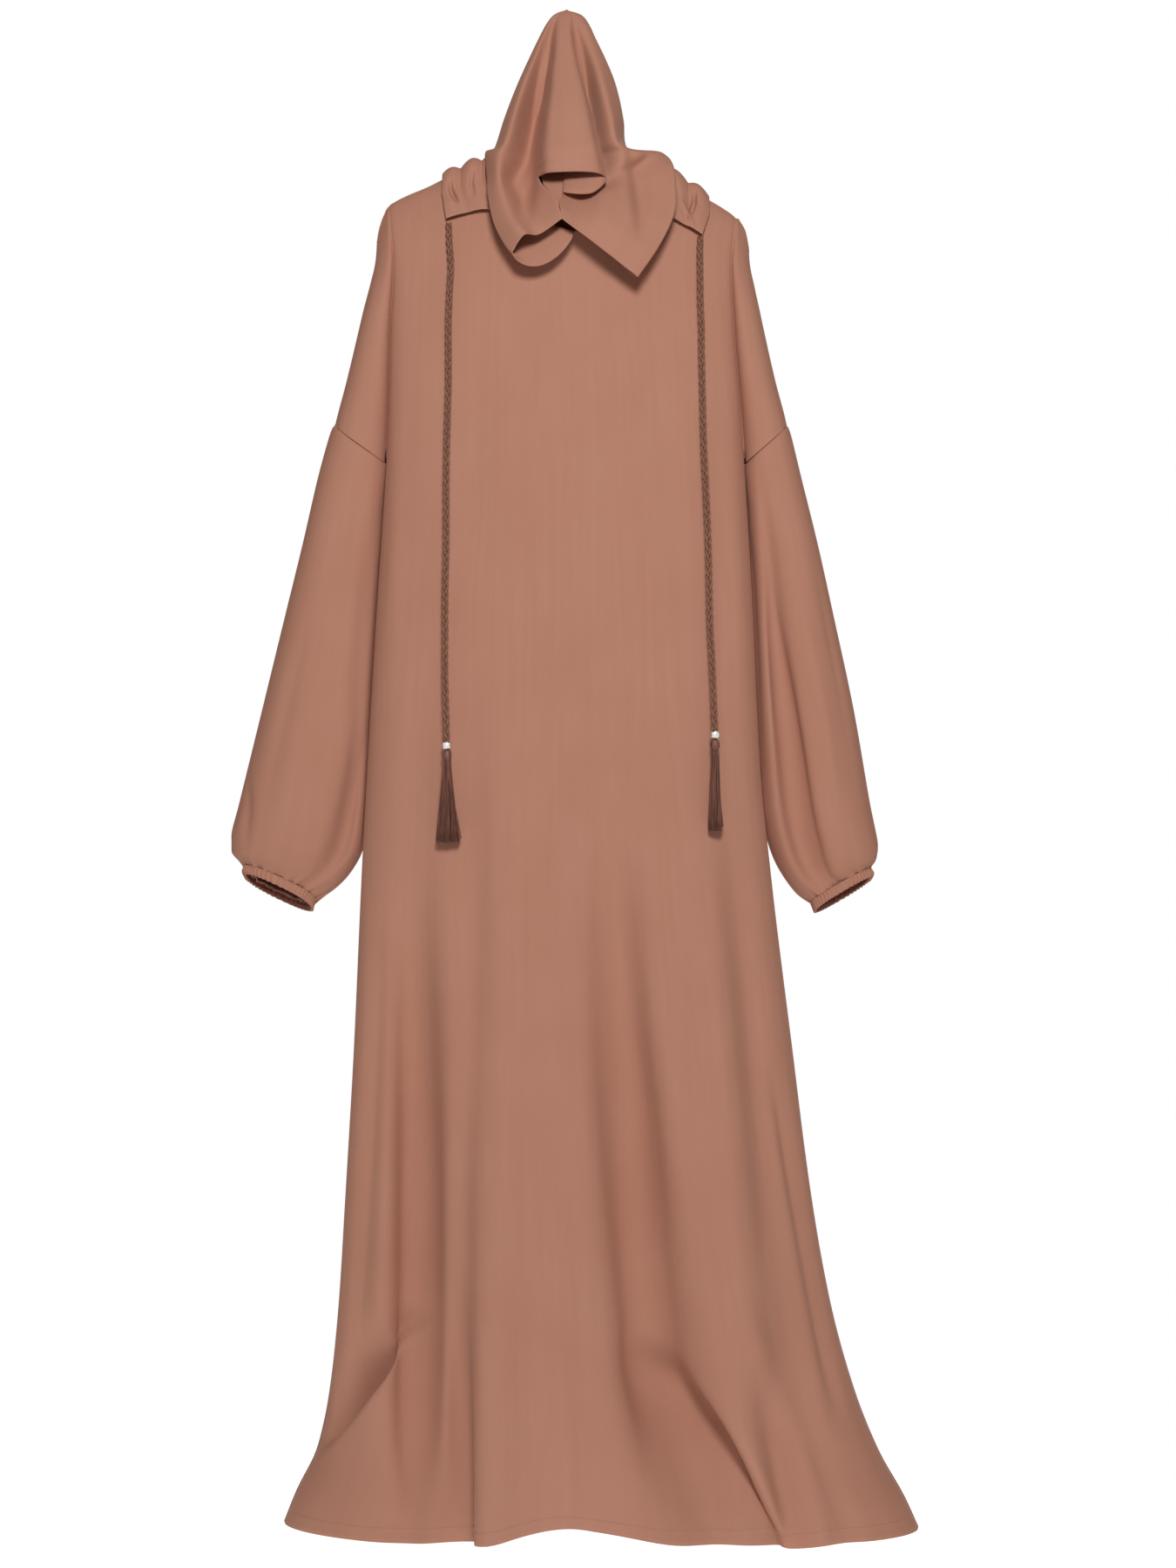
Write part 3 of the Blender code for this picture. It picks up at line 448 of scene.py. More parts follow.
FOLD_DROPS = (690, 990, 1310, 1470, 1586)
FOLDS_START = 520
FOLDS_FADE = 200
Fold = namedtuple("Fold", "width across push")
FRONT_FOLDS = (
    Fold(24, (-148, -152, -150, -148, -124), (-3, -10, -16, -19, -12)),
    Fold(15, (-100, -96, -107, -110, -112), (0, -4, -6, -7, -3)),
    Fold(28, (-60, -56, -70, -78, -94), (1, 4, 7, 10, 14)),
    Fold(62, (0, 0, 0, 4, 12), (0, 0, -2, -8, -34)),
    Fold(32, (42, 46, 91, 116, 158), (-4, -9, -20, -33, -20)),
    Fold(36, (95, 93, 160, 178, 228), (2, 4, 10, 15, 17)),
    Fold(20, (168, 180, 221, 246, 286), (0, -5, -8, -9, -8)),
)
BACK_FOLDS = (
    Fold(26, (-130, -128, -120, -118, -100), (-3, -8, -15, -18, -14)),
    Fold(30, (-60, -50, -52, -50, -40), (1, 4, 9, 13, 16)),
    Fold(34, (20, 24, 30, 34, 44), (-3, -7, -16, -24, -26)),
    Fold(34, (90, 100, 110, 120, 136), (2, 5, 10, 14, 18)),
    Fold(26, (150, 160, 180, 196, 220), (-2, -7, -14, -18, -16)),
)
FRONT_CREASES = (
    Crease(-148, 1358, -278, 1532, 0, 30, 4, -46),
    Crease(-160, 900, -156, 1640, 0, 26, 24, -38),
    Crease(-112, 1300, -108, 1820, 0, 16, 14, -28),
    Crease(-82, 1100, -76, 1760, 0, 13, 34, 12),
    Crease(-196, 900, -222, 1500, 0, 12, 16, -10),
    Crease(-100, 620, -104, 1180, 3, 22, 22, -4),
    Crease(-30, 640, -34, 1300, 0, 22, 24, -4),
    Crease(14, 620, 24, 1180, 3, 18, 24, 4),
    Crease(48, 860, 104, 1590, -4, 28, 24, -30),
    Crease(62, 1366, 262, 1640, 4, 28, 13, -38),
    Crease(2, 1180, 40, 1720, 5, 20, 30, 5),
    Crease(136, 800, 196, 1520, 0, 22, 22, 13),
    Crease(176, 1330, 276, 1600, 0, 13, 13, 9),
    Crease(200, 1380, 274, 1720, 0, 20, 14, -24),
    Crease(166, 860, 210, 1330, 6, 14, 16, -5),
    Crease(212, 1090, 284, 1490, 4, 9, 12, -14),
    Crease(-176, 330, -186, 720, 0, 8, 12, 2.6),
    Crease(172, 320, 186, 720, 0, 12, 8, 2.6),
    Crease(152, 420, 168, 860, 2, 14, 14, -3.4),
    Crease(96, 300, 120, 620, -4, 18, 18, -2.6),
    Crease(-86, 320, -112, 640, 4, 18, 18, -2.6),
    Crease(-40, 330, -60, 470, 4, 12, 16, 1.6),
    Crease(60, 320, 76, 480, -4, 14, 12, 1.6),
)
BACK_CREASES = (
    Crease(-120, 250, -150, 620, 6, 12, 12, -2.4),
    Crease(110, 260, 140, 640, -6, 12, 12, -2.4),
    Crease(-90, 700, -104, 1240, 4, 14, 14, 2.2),
    Crease(-10, 640, -8, 1180, 0, 16, 16, -2.2),
    Crease(60, 760, 78, 1300, 3, 13, 13, 2.4),
    Crease(140, 860, 168, 1400, 5, 12, 12, -2.6),
    Crease(-170, 900, -190, 1420, -4, 11, 11, -2.6),
    Crease(200, 1180, 250, 1520, 4, 12, 12, 2.8),
)
HEM_DEPTH = 14
SEAM_LAP = 1.7
SEAM_PASSES = 4
TOP_ROWS = 64
ARM_COLUMNS = 22
SIDE_FADE = 22
TOP_FADE = 30


def shoulder_line(x):
    """Drop of the shoulder seam, carried on over the open neck."""
    return read(SHOULDER, "drop", x, by="x")


def top_line(x, front):
    """Drop of a panel's upper edge: the shoulder seam, and the neckline between."""
    across = np.minimum(np.abs(x - NECK_X) / NECK_HALF_WIDTH, 1.0)
    dip = NECK_DIP_FRONT * np.sqrt(1 - across**2) if front else NECK_DIP_BACK * (1 - across**2)
    return shoulder_line(x) + dip


def folds(rows, x, drop):
    """How far the large folds push a panel out."""
    fade = np.clip((drop - FOLDS_START) / FOLDS_FADE, 0.0, 1.0)
    return sum(
        between(FOLD_DROPS, fold.push, drop)
        * fade
        * hump(x - between(FOLD_DROPS, fold.across, drop), fold.width)
        for fold in rows
    )


def across_top(x):
    """X as a share across the shoulders, -1 at the body's left and 1 at its right."""
    return (2 * x - BODY[0].left - BODY[0].right) / (BODY[0].right - BODY[0].left)


def rounding(below, settle):
    """How far cloth has rounded out below the shoulder seam, from 0 at the seam towards 1."""
    return (1 - np.exp(-np.maximum(below, 0.0) / settle)) ** ROUND_POWER


def panel_depth(x, across, drop, front, top):
    """How far a panel stands out from the shoulder seam's plane. Across runs from -1 to 1."""
    square = read(BODY, "square", drop)
    edge = np.maximum(1 - np.abs(across) ** square, 0.0) ** (1 / square)
    groove = read(ARM, "groove", drop)
    reach = read(BODY, "front" if front else "back", drop)
    swell = NECK_SWELL * hump(x - NECK_X, NECK_SWELL_WIDTH)
    swell = swell * hump(drop - NECK_SWELL_DROP, NECK_SWELL_HEIGHT)
    settle = SHOULDER_ROUND - NECK_STEEPER * hump(x - NECK_X, NECK_STEEPER_WIDTH)
    out = rounding(drop - top, settle) * (groove + (reach - groove) * edge + swell)
    return out + edge * folds(FRONT_FOLDS if front else BACK_FOLDS, x, drop)


def mid_half(drop, across):
    """X at a share across the body, -1 at its left edge and 1 at its right."""
    left = read(BODY, "left", drop)
    right = read(BODY, "right", drop)
    return (left + right) / 2 + (right - left) / 2 * across


def seam_plane(x, drop):
    """How far forward the side seams have come at one place."""
    left = read(BODY, "left", drop)
    right = read(BODY, "right", drop)
    across = np.maximum((2 * x - left - right) / (right - left), 0.0)
    low = np.maximum((drop - LEAN_DROP) / (HEM_DROP - LEAN_DROP), 0.0)
    return HEM_RIGHT_FORE * across**2 * low**2


def body_grid(columns, top_rows, low_rows, front):
    """A panel between its side seams, from the shoulder to the hem."""
    u = np.linspace(0, 1, columns + 1)[None, :]
    across = 0.5 * (2 * u - 1) - 0.5 * np.cos(math.pi * u)
    upper = np.linspace(0, 1, top_rows + 1)[:, None]
    lower = np.linspace(0, 1, low_rows + 1)[1:, None]
    top_x = mid_half(np.full_like(across, BODY[0].drop), across)
    line = shoulder_line(top_x)
    edge = top_line(top_x, front)
    drop_upper = edge + (SEAM_DROP_INNER - edge) * upper**TOP_SPACING
    drop_lower = SEAM_DROP_INNER + (HEM_DROP - SEAM_DROP_INNER) * lower**LOW_SPACING
    drop_lower = np.broadcast_to(drop_lower, (low_rows, columns + 1)).copy()
    if front:
        lift = hump(top_x * HEM_LIFT_SPREAD - HEM_LIFT_X, HEM_LIFT_WIDTH)
        drop_lower -= HEM_LIFT * lower**HEM_LIFT_POWER * lift
    drop = np.concatenate([drop_upper, drop_lower])
    across = np.broadcast_to(across, drop.shape)
    x = mid_half(drop, across)
    out = panel_depth(x, across, drop, front, line) + SEAM_GAP / 2
    return np.stack([x, (-1 if front else 1) * out - seam_plane(x, drop), drop], -1)


def arm_grid(columns, rows, side, front):
    """A dropped shoulder, from its outer edge to the body, parted from it at the armpit."""
    v = np.linspace(0, 1, rows + 1)[:, None]
    turn = np.linspace(0, 1, columns + 1)[None, :] * np.ones_like(v)
    parting = ARMPIT_SLIT * np.clip((v - ARMPIT_START) / (1 - ARMPIT_START), 0, 1)
    turn = turn * (1 - parting * turn**ARMPIT_POWER)
    share = 0.5 - 0.5 * np.cos(math.pi * turn)
    name = "left" if side < 0 else "right"
    inner_top = read(BODY, name, BODY[0].drop)
    outer_top = (SHOULDER[0] if side < 0 else SHOULDER[-1]).x
    top_x = outer_top + (inner_top - outer_top) * share
    top = shoulder_line(top_x)
    bottom = SEAM_DROP_OUTER + (SEAM_DROP_INNER - SEAM_DROP_OUTER) * share
    drop = top + (bottom - top) * v**TOP_SPACING
    outer = read(ARM, name, drop)
    inner = read(BODY, name, drop)
    w = np.minimum(v * ARM_SETTLE, 1.0)
    x = top_x + (outer + (inner - outer) * share - top_x) * w
    rise = rounding(drop - top, SHOULDER_ROUND)
    round_off = np.maximum(1 - np.abs(2 * share - 1) ** RING_SQUARE, 0.0) ** (1 / RING_SQUARE)
    out = rise * (read(ARM, "groove", drop) * share + read(ARM, "swell", drop) * round_off)
    return np.stack([x, (-1 if front else 1) * (out + SEAM_GAP / 2), drop], -1)


def kept_side(grid, front, outwards=True):
    """A panel's grid held on its own side of the seams, wall and all."""
    facing = -1 if front else 1
    for _ in range(SEAM_PASSES):
        normal = facing_out(grid, outwards)[..., 1]
        seam = -seam_plane(grid[..., 0], grid[..., 2])
        least = SEAM_GAP / 2 + CLOTH * np.maximum(facing * normal, 0.0)
        grid[..., 1] = seam + facing * np.maximum(facing * (grid[..., 1] - seam), least)
    return grid


def panel(name, front, columns, low_rows, creases, node):
    """One panel: its body and its two dropped shoulders."""
    body = body_grid(columns, TOP_ROWS, low_rows, front)
    x, drop = body[..., 0], body[..., 2]
    left, right = read(BODY, "left", drop), read(BODY, "right", drop)
    inside = np.clip(np.minimum(x - left, right - x) / SIDE_FADE, 0, 1)
    inside = inside * np.clip((drop - top_line(x, front)) / TOP_FADE, 0, 1)
    body = pressed(body, crease_push(creases, x, drop) * inside, front)
    body = kept_side(body, front, front)
    arms = []
    for side in (-1, 1):
        outwards = front == (side < 0)
        arm = kept_side(arm_grid(ARM_COLUMNS, TOP_ROWS, side, front), front, outwards)
        arm[:-1, -1] = body[:TOP_ROWS, 0 if side < 0 else -1]
        arm = np.concatenate([arm, arm[-1:] + unit(arm[-1:] - arm[-2:-1]) * SEAM_LAP])
        arms.append((arm, outwards))
    hems[name] = body
    body = turned_up(body, HEM_DEPTH, front)
    return cloth(name, [(body, front)] + arms, crepe_body, node)


crepe_body = crepe("terracotta_crepe")
hems = {}
front_panel = panel("front_panel", True, 150, 220, FRONT_CREASES, "front")
back_panel = panel("back_panel", False, 110, 150, BACK_CREASES, "back")


# The sleeves: one tube of crepe each, sewn to the dropped shoulder, full towards the wrist and
# drawn in at the end by the cuff's elastic, which throws small gathers up the cloth.
Ring = namedtuple("Ring", "outer_x outer_drop inner_x inner_drop fore aft tilt")
SLEEVE_LEFT = (
    Ring(-245, 437.8, -188.5, 475.8, 30, 30, 0),
    Ring(-259, 486, -191, 520, 28, 40, 0),
    Ring(-277, 560, -194, 580, 25, 52, 0),
    Ring(-297, 639, -197, 650, 22, 60, 0),
    Ring(-322, 739, -202, 745, 20, 68, 0),
    Ring(-345, 831, -209, 838, 18, 73, 0),
    Ring(-354, 868, -215, 880, 14, 72, 1),
    Ring(-354, 884, -228, 906, 7, 66, 4),
    Ring(-346, 895, -247, 925, -1, 57, 7),
    Ring(-340, 901, -264, 935, -6, 50, 9),
)
CUFF_LEFT = (
    Ring(-340.2, 901.4, -264.4, 935.4, -5.7, 50.3, 9),
    Ring(-342, 906, -267, 940, -4.5, 51, 9),
    Ring(-340, 911, -268, 945, -6, 49.5, 9),
)
SLEEVE_RIGHT = (
    Ring(235, 437.8, 189.5, 475.8, 30, 30, 0),
    Ring(248, 490, 192, 520, 28, 40, 0),
    Ring(266, 560, 195, 580, 25, 52, 0),
    Ring(284, 639, 198, 650, 22, 60, 0),
    Ring(305, 735, 202, 745, 20, 68, 0),
    Ring(322, 831, 208, 838, 18, 73, 0),
    Ring(331, 878, 219, 886, 13, 71, 1),
    Ring(329, 893, 232, 912, 6, 64, 3),
    Ring(325, 900, 247, 930, -1, 56, 5),
    Ring(323, 903, 260, 938, -6, 50, 6),
)
CUFF_RIGHT = (
    Ring(323.2, 903.4, 260.4, 938.4, -5.7, 50.3, 6),
    Ring(326, 908, 262, 943, -4.5, 51, 6),
    Ring(324, 913, 264, 948, -6, 49.5, 6),
)
SLEEVE_FOLD_LEFT = (0.36, 0.045, (0, 0, 2, 4, 6, 8, 8, 5, 2, 0))
SLEEVE_FOLD_RIGHT = (0.315, 0.040, (0, 2, 7, 12, 16, 18, 16, 12, 5, 0))
SLEEVE_ROUND = 330
LEFT_SLEEVE_CREASES = (
    Crease(88, 480, 84, 860, 3, 9, 12, -3.2),
    Crease(132, 760, 112, 950, 3, 14, 7, -6),
    Crease(64, 620, 58, 880, -3, 8, 8, -2.0),
    Crease(112, 700, 104, 890, 3, 8, 10, 2.6),
    Crease(20, 800, 46, 884, 4, 7, 7, -3.0),
    Crease(150, 560, 146, 860, 0, 10, 10, -2.6),
    Crease(210, 560, 214, 850, 5, 12, 12, -3.0),
    Crease(262, 620, 256, 880, -4, 10, 10, 2.6),
    Crease(306, 700, 300, 880, 0, 9, 9, -2.4),
)
RIGHT_SLEEVE_CREASES = (
    Crease(40, 560, 44, 820, 0, 10, 10, -2.0),
    Crease(76, 600, 70, 870, -4, 8, 10, 2.4),
    Crease(108, 600, 90, 980, -3, 7, 15, -11),
    Crease(150, 540, 150, 840, 0, 10, 10, -2.4),
    Crease(205, 560, 212, 850, 5, 12, 12, -3.0),
    Crease(258, 620, 252, 880, -4, 10, 10, 2.6),
    Crease(300, 700, 296, 880, 0, 9, 9, -2.4),
)
SLEEVE_ROWS = 150
SLEEVE_AROUND = 132
Gathers = namedtuple("Gathers", "count depth reach")
SLEEVE_GATHERS = Gathers(26, 2.4, 0.24)
GATHER_SEED = 5
INNER_TURN = 0.5
INNER_WIDTH = 0.09
STEP_GAP = 0.05
HEAD_FADE = 0.05
WRIST_SHARE = 0.75
PIT_SHARE = 0.12
SLEEVE_TUCK = 2.2
SLEEVE_RUN_ON = 4
HEAD_TUCK = 0.8
HEAD_RUN_ON = 3
HEAD_STEP = 1.15
HEAD_EASE = 0.012
SIDE_CLOSER = 0.8
PIT_CLOSER = 1.3


def ring_grid(rings, steps, around, fold=None):
    """A closed tube of points through a table of rings. Turn 0 is the outer end, 0.25 the front."""
    row = np.linspace(0, len(rings) - 1, steps + 1)[:, None]
    turn = np.linspace(0, 1, around + 1)[None, :]

    def column(name):
        return between(range(len(rings)), [getattr(ring, name) for ring in rings], row)

    along = power(np.cos(2 * math.pi * turn), 2 / RING_SQUARE)
    out = power(np.sin(2 * math.pi * turn), 2 / RING_SQUARE)
    outer_x, inner_x = column("outer_x"), column("inner_x")
    outer_drop, inner_drop = column("outer_drop"), column("inner_drop")
    fore, aft, tilt = column("fore"), column("aft"), column("tilt")
    x = (outer_x + inner_x) / 2 + (outer_x - inner_x) / 2 * along
    drop = (outer_drop + inner_drop) / 2 + (outer_drop - inner_drop) / 2 * along - tilt * out
    y = (aft - fore) / 2 - (aft + fore) / 2 * out
    if fold:
        place_in_turn, width, depths = fold
        y = y + between(range(len(rings)), depths, row) * hump(turn - place_in_turn, width)
    return np.stack([x, y, drop], -1), turn, row / (len(rings) - 1)


def gathers(turn, share, count, depth, reach, seed):
    """Small unlike pleats round a tube, each fading out at its own height above the gathering."""
    random = np.random.default_rng(seed)
    total = np.zeros(np.broadcast(turn, share).shape)
    for index in range(count):
        middle = (index + random.uniform(-0.3, 0.3)) / count
        top = 1 - reach * random.uniform(0.35, 1.0)
        height = depth * random.uniform(0.5, 1.2)
        away = np.abs((turn - middle + 0.5) % 1.0 - 0.5)
        total += height * hump(away, 0.32 / count) * np.clip((share - top) / (1 - top), 0, 1) ** 1.5
    return total - depth * 0.45 * np.clip((share - 1 + reach) / reach, 0, 1) ** 1.5


def run_on(end, before, tuck, reaches):
    """Rows that carry a tube's end on, tucked in towards its middle."""
    along = unit(end - before)
    inward = unit(end[:-1].mean(axis=0) - end)
    return [end + inward * tuck + along * reach for reach in reaches]


def sleeve(side, rings, fold, creases, seed):
    """One sleeve, with its long folds, its creases and the gathers over the cuff."""
    grid, turn, share = ring_grid(rings, SLEEVE_ROWS, SLEEVE_AROUND, fold)
    x = turn * SLEEVE_ROUND + 0 * share
    amount = crease_push(creases, x, grid[..., 2]) + gathers(turn, share, *SLEEVE_GATHERS, seed)
    amount *= np.clip(share / HEAD_FADE, 0, 1)
    amount -= HEAD_STEP * np.exp(-share / HEAD_EASE) * (1 - hump(turn - INNER_TURN, STEP_GAP))
    left = side == "left"
    grid = pressed(grid, amount, left, closed=True)
    beside = hump(turn - INNER_TURN, INNER_WIDTH) * np.clip(share / 0.008, 0, 1)
    beside = beside * np.clip((WRIST_SHARE - share) / 0.1, 0, 1)
    reach = SIDE_CLOSER + PIT_CLOSER * np.clip((PIT_SHARE - share) / 0.08, 0, 1)
    grid[..., 0] += (1 if left else -1) * reach * beside
    grid[:, -1] = grid[:, 0]
    head = run_on(grid[0], grid[2], HEAD_TUCK, (HEAD_RUN_ON, 0.1))
    wrist = run_on(grid[-1], grid[-3], SLEEVE_TUCK, (0.5, SLEEVE_RUN_ON))
    grid = np.concatenate([head, grid, wrist])
    return cloth("sleeve_shell_" + side, [(grid, left)], crepe_body, "sleeve_" + side)


for side_name, rings, fold, creases in (
    ("left", SLEEVE_LEFT, SLEEVE_FOLD_LEFT, LEFT_SLEEVE_CREASES),
    ("right", SLEEVE_RIGHT, SLEEVE_FOLD_RIGHT, RIGHT_SLEEVE_CREASES),
):
    shell = sleeve(side_name, rings, fold, creases, GATHER_SEED + len(side_name))


# The cuffs: the sleeve's end, turned in over a narrow elastic and overlocked along its raw edge
# in dark thread. The elastic draws the cloth into fine pleats all round.
CUFF_PLEATS = 46
CUFF_PLEAT_DEPTH = 0.9
CUFF_DEPTH = 7
CUFF_ROWS = 18
PER_PLEAT = 6
CUFF_UNEVEN = 24
CUFF_HEM_GAP = 2.0
CUFF_WALL = 0.6


def cuff(side, rings, seed):
    """One gathered cuff with its turned-in layer."""
    grid, turn, share = ring_grid(rings, CUFF_ROWS, CUFF_PLEATS * PER_PLEAT)
    pleat = CUFF_PLEAT_DEPTH * np.cos(2 * math.pi * turn * CUFF_PLEATS)
    random = np.random.default_rng(seed)
    heights = random.uniform(0.5, 1.3, CUFF_UNEVEN)
    uneven = between(np.linspace(0, 1, CUFF_UNEVEN), heights, turn)
    left = side == "left"
    grid = pressed(grid, pleat * uneven * np.ones_like(share), left, closed=True)
    grid[:, -1] = grid[:, 0]
    outer = grid
    grid = turned_up(grid, CUFF_DEPTH, left, closed=True, gap=CUFF_HEM_GAP)
    grid[:, -1] = grid[:, 0]
    cuff_edges[side] = (outer, grid, left)
    return cloth("cuff_shell_" + side, [(grid, left)], crepe_body, "cuff_" + side, CUFF_WALL)


cuff_edges = {}
for side_name, rings in (("left", CUFF_LEFT), ("right", CUFF_RIGHT)):
    band = cuff(side_name, rings, GATHER_SEED)


# The hood: one piece of crepe folded over the crown and seamed up the back. Hung by its tip, its
# forehead edge falls in a pipe with a trough on its left, and doubles back on its right. Its
# sides fall open over the chest as two wings.
Hood = namedtuple("Hood", "drop left right pipe_left pipe_right crease pipe trough cheek back")
HOOD = (
    Hood(0, 0, 2, 0, 2, 1, 1, 1, 1, 1),
    Hood(5, -12, 17, -5, 5, 7, 7, 6, 5.5, 7),
    Hood(15, -20, 25, -9, 6, 8, 13, 9, 10, 14),
    Hood(30, -28, 32, -12, 7, 9, 21, 9, 14, 21),
    Hood(51, -38, 42, -14, 11, 10, 30, 9, 19, 28),
    Hood(73, -48, 51, -17, 16, 11, 39, 10, 25, 34),
    Hood(95, -57, 57, -19, 22, 10, 48, 11, 30, 39),
    Hood(117, -65, 61, -23, 28, 8, 56, 14, 36, 43),
    Hood(147, -75, 66, -27, 35, 5, 65, 20, 44, 44),
    Hood(161, -84, 99, -28, 38, 2, 69, 23, 47, 40),
    Hood(185, -81, 112, -28, 41, -2, 72, 27, 52, 40),
)
NECK_ROW = 9
HEM_ROW = 10
EDGE_SPAN = 10
SIDE_SPAN = 14
NECK_SEAM = 0.4
LEFT_SIDE = (-84, 2, 151)
RIGHT_SIDE = (101, 2, 151)
RIGHT_CHEEK = (88, 27, 154)
HEM_RETURN = ((43, 58, 189), (27, 67, 206), (-2, 63, 204))

Wing = namedtuple(
    "Wing",
    "edge_x edge_drop edge_fore near_fore far_fore far_lift "
    "fold_x fold_drop fold_fore in_x in_drop in_fore sag",
)
WING_LEFT = (
    Wing(-28, 185, 50, 30, 54, 0, -81, 185, 36, -70, 187, 25, 0),
    Wing(-18, 202, 66, 44, 62, 0, -80, 202, 48, -60, 206, 33, 2),
    Wing(-9, 213, 75, 57, 70, 1, -77, 221, 57, -42, 222, 42, 7),
    Wing(-6, 222, 79, 67, 78, 3, -72, 239, 65, -22, 234, 54, 14),
    Wing(-4, 229, 82, 75, 86, 5, -64, 255, 71, -5, 240, 62, 19),
    Wing(-3, 235, 84, 79, 90, 7, -54, 268, 76, 10, 245, 68, 23),
)
WING_RIGHT = (
    Wing(-2, 204, 63, 44, 44, 0, 112, 166, 24, 0, 0, 0, 0),
    Wing(-4, 211, 70, 58, 54, 0, 115, 190, 38, 0, 0, 0, 0),
    Wing(-5, 218, 76, 70, 66, 0, 113, 224, 54, 94, 226, 40, 0),
    Wing(-4, 226, 80, 79, 75, 0, 97, 260, 68, 75, 256, 49, 0),
    Wing(-4, 234, 84, 85, 83, 0, 75, 294, 79, 55, 274, 58, 0),
)
HOLLOW_RIGHT = 0.16
HOLLOW = (10, 12, 9, 4, 0)
TURN_POWER = 5
SAG_POWER = 0.6
NEAR_LEFT = 0.45
FAR_LEFT = 0.75
NEAR_RIGHT = 0.38
FAR_RIGHT = 0.66
RIGHT_TURN_START = 2
PER_SPAN = 11
PER_ROW = 9
TURN_COLUMNS = 22
Allowance = namedtuple("Allowance", "inset depth")
NECK_ALLOWANCE = Allowance(2.0, 12)
ALLOWANCE_STEPS = (0, 0.15, 0.6, 1)
NAPE_ROUND = 0.72
PIPE_ROUND = 0.2
INNER_PER_SPAN = 8
INNER_PER_ROW = 6
PRESS_FROM = 4
PRESS_FADE = 10
INNER_FOLD = (
    ((-27, -24, 158), (-20, -28, 160), (-11, -31, 163), (-2, -34, 166), (4, -36, 168)),
    ((-26, -37, 176), (-20, -41, 181), (-12, -45, 185), (-4, -48, 187), (3, -49, 188)),
    ((-23, -46, 190), (-17, -53, 198), (-11, -58, 205), (-5, -58, 209), (1, -57, 206)),
    ((-21, -49, 196), (-15, -57, 206), (-10, -63, 215), (-5, -64, 220), (-1, -62, 216)),
)
HOOD_CREASES = (
    Crease(-11, 8, -38, 246, -4, 20, 5, -15),
    Crease(-40, 60, -66, 190, 4, 10, 16, 3),
    Crease(14, 6, 46, 206, -4, 3, 10, -10),
    Crease(30, 60, 58, 150, -4, 9, 9, 2.5),
    Crease(60, 116, 80, 262, 4, 7, 20, -14),
    Crease(-8, 60, -14, 168, 2, 6, 8, -1.2),
    Crease(8, 90, 18, 176, 2, 7, 6, 1.2),
    Crease(-36, 190, -44, 238, -4, 7, 8, -6),
    Crease(20, 210, 60, 268, 6, 12, 12, 2.2),
    Crease(86, 182, 100, 232, 4, 8, 10, -3),
)


def part_way(near, far, share):
    """A point part of the way from one to another."""
    return tuple(a + (b - a) * share for a, b in zip(near, far))


def wing_controls(side, step):
    """The points across one wing's outer layer, from its free edge to its fold."""
    wing = (WING_LEFT if side == "left" else WING_RIGHT)[step]
    near, far = (NEAR_LEFT, FAR_LEFT) if side == "left" else (NEAR_RIGHT, FAR_RIGHT)
    edge = (wing.edge_x, -wing.edge_fore, wing.edge_drop)
    fold = (wing.fold_x, -wing.fold_fore, wing.fold_drop)
    near_point = part_way(edge, fold, near)
    far_point = part_way(edge, fold, far)
    points = [
        edge,
        (near_point[0], -wing.near_fore, near_point[2]),
        (far_point[0], -wing.far_fore, far_point[2] - wing.far_lift),
        fold,
    ]
    if side == "right":
        x, _, drop = part_way(edge, fold, HOLLOW_RIGHT)
        fore = (wing.edge_fore + wing.near_fore) / 2 - HOLLOW[step]
        points.insert(1, (x, -fore, drop))
    return points


def hood_controls(row):
    """The sixteen points that shape one ring: from the nape, round the left to the right."""
    ring = HOOD[row]
    left_gap = ring.pipe_left - ring.left
    right_gap = ring.right - ring.pipe_right
    width = ring.pipe_right - ring.pipe_left
    middle = (ring.left + ring.right) / 2
    rise = ring.pipe - ring.trough
    points = [
        (middle, ring.back, ring.drop),
        (middle + NAPE_ROUND * (ring.left - middle), NAPE_ROUND * ring.back, ring.drop),
        (ring.left, 0, ring.drop),
        (ring.left + 0.28 * left_gap, -ring.cheek, ring.drop),
        (ring.left + 0.74 * left_gap, -ring.trough, ring.drop),
        (ring.pipe_left, -ring.trough - 0.5 * rise, ring.drop),
        (ring.pipe_left + PIPE_ROUND * width, -0.97 * ring.pipe, ring.drop),
        (ring.pipe_right - PIPE_ROUND * width, -ring.pipe, ring.drop),
        (ring.pipe_right, -ring.trough - 0.72 * rise, ring.drop),
        ((ring.pipe_right + ring.crease) / 2, -ring.trough - 0.5 * rise, ring.drop),
        (ring.crease, -ring.trough - 0.2 * rise, ring.drop),
        (ring.crease + 0.18 * (ring.right - ring.crease), -ring.trough, ring.drop),
        (ring.pipe_right + 0.48 * right_gap, -ring.cheek, ring.drop),
        (ring.pipe_right + 0.8 * right_gap, -0.7 * ring.cheek, ring.drop),
        (ring.right, 0, ring.drop),
        (middle + NAPE_ROUND * (ring.right - middle), NAPE_ROUND * ring.back, ring.drop),
    ]
    if row == NECK_ROW:
        points[2] = (LEFT_SIDE[0], -LEFT_SIDE[1], LEFT_SIDE[2])
        points[13] = (RIGHT_CHEEK[0], -RIGHT_CHEEK[1], RIGHT_CHEEK[2])
        points[14] = (RIGHT_SIDE[0], -RIGHT_SIDE[1], RIGHT_SIDE[2])
    if row == HEM_ROW:
        points[2:6] = wing_controls("left", 0)[::-1]
        points[8:11] = [(x, -fore, drop) for x, fore, drop in HEM_RETURN]
        points[EDGE_SPAN : SIDE_SPAN + 1] = wing_controls("right", 0)
    return points


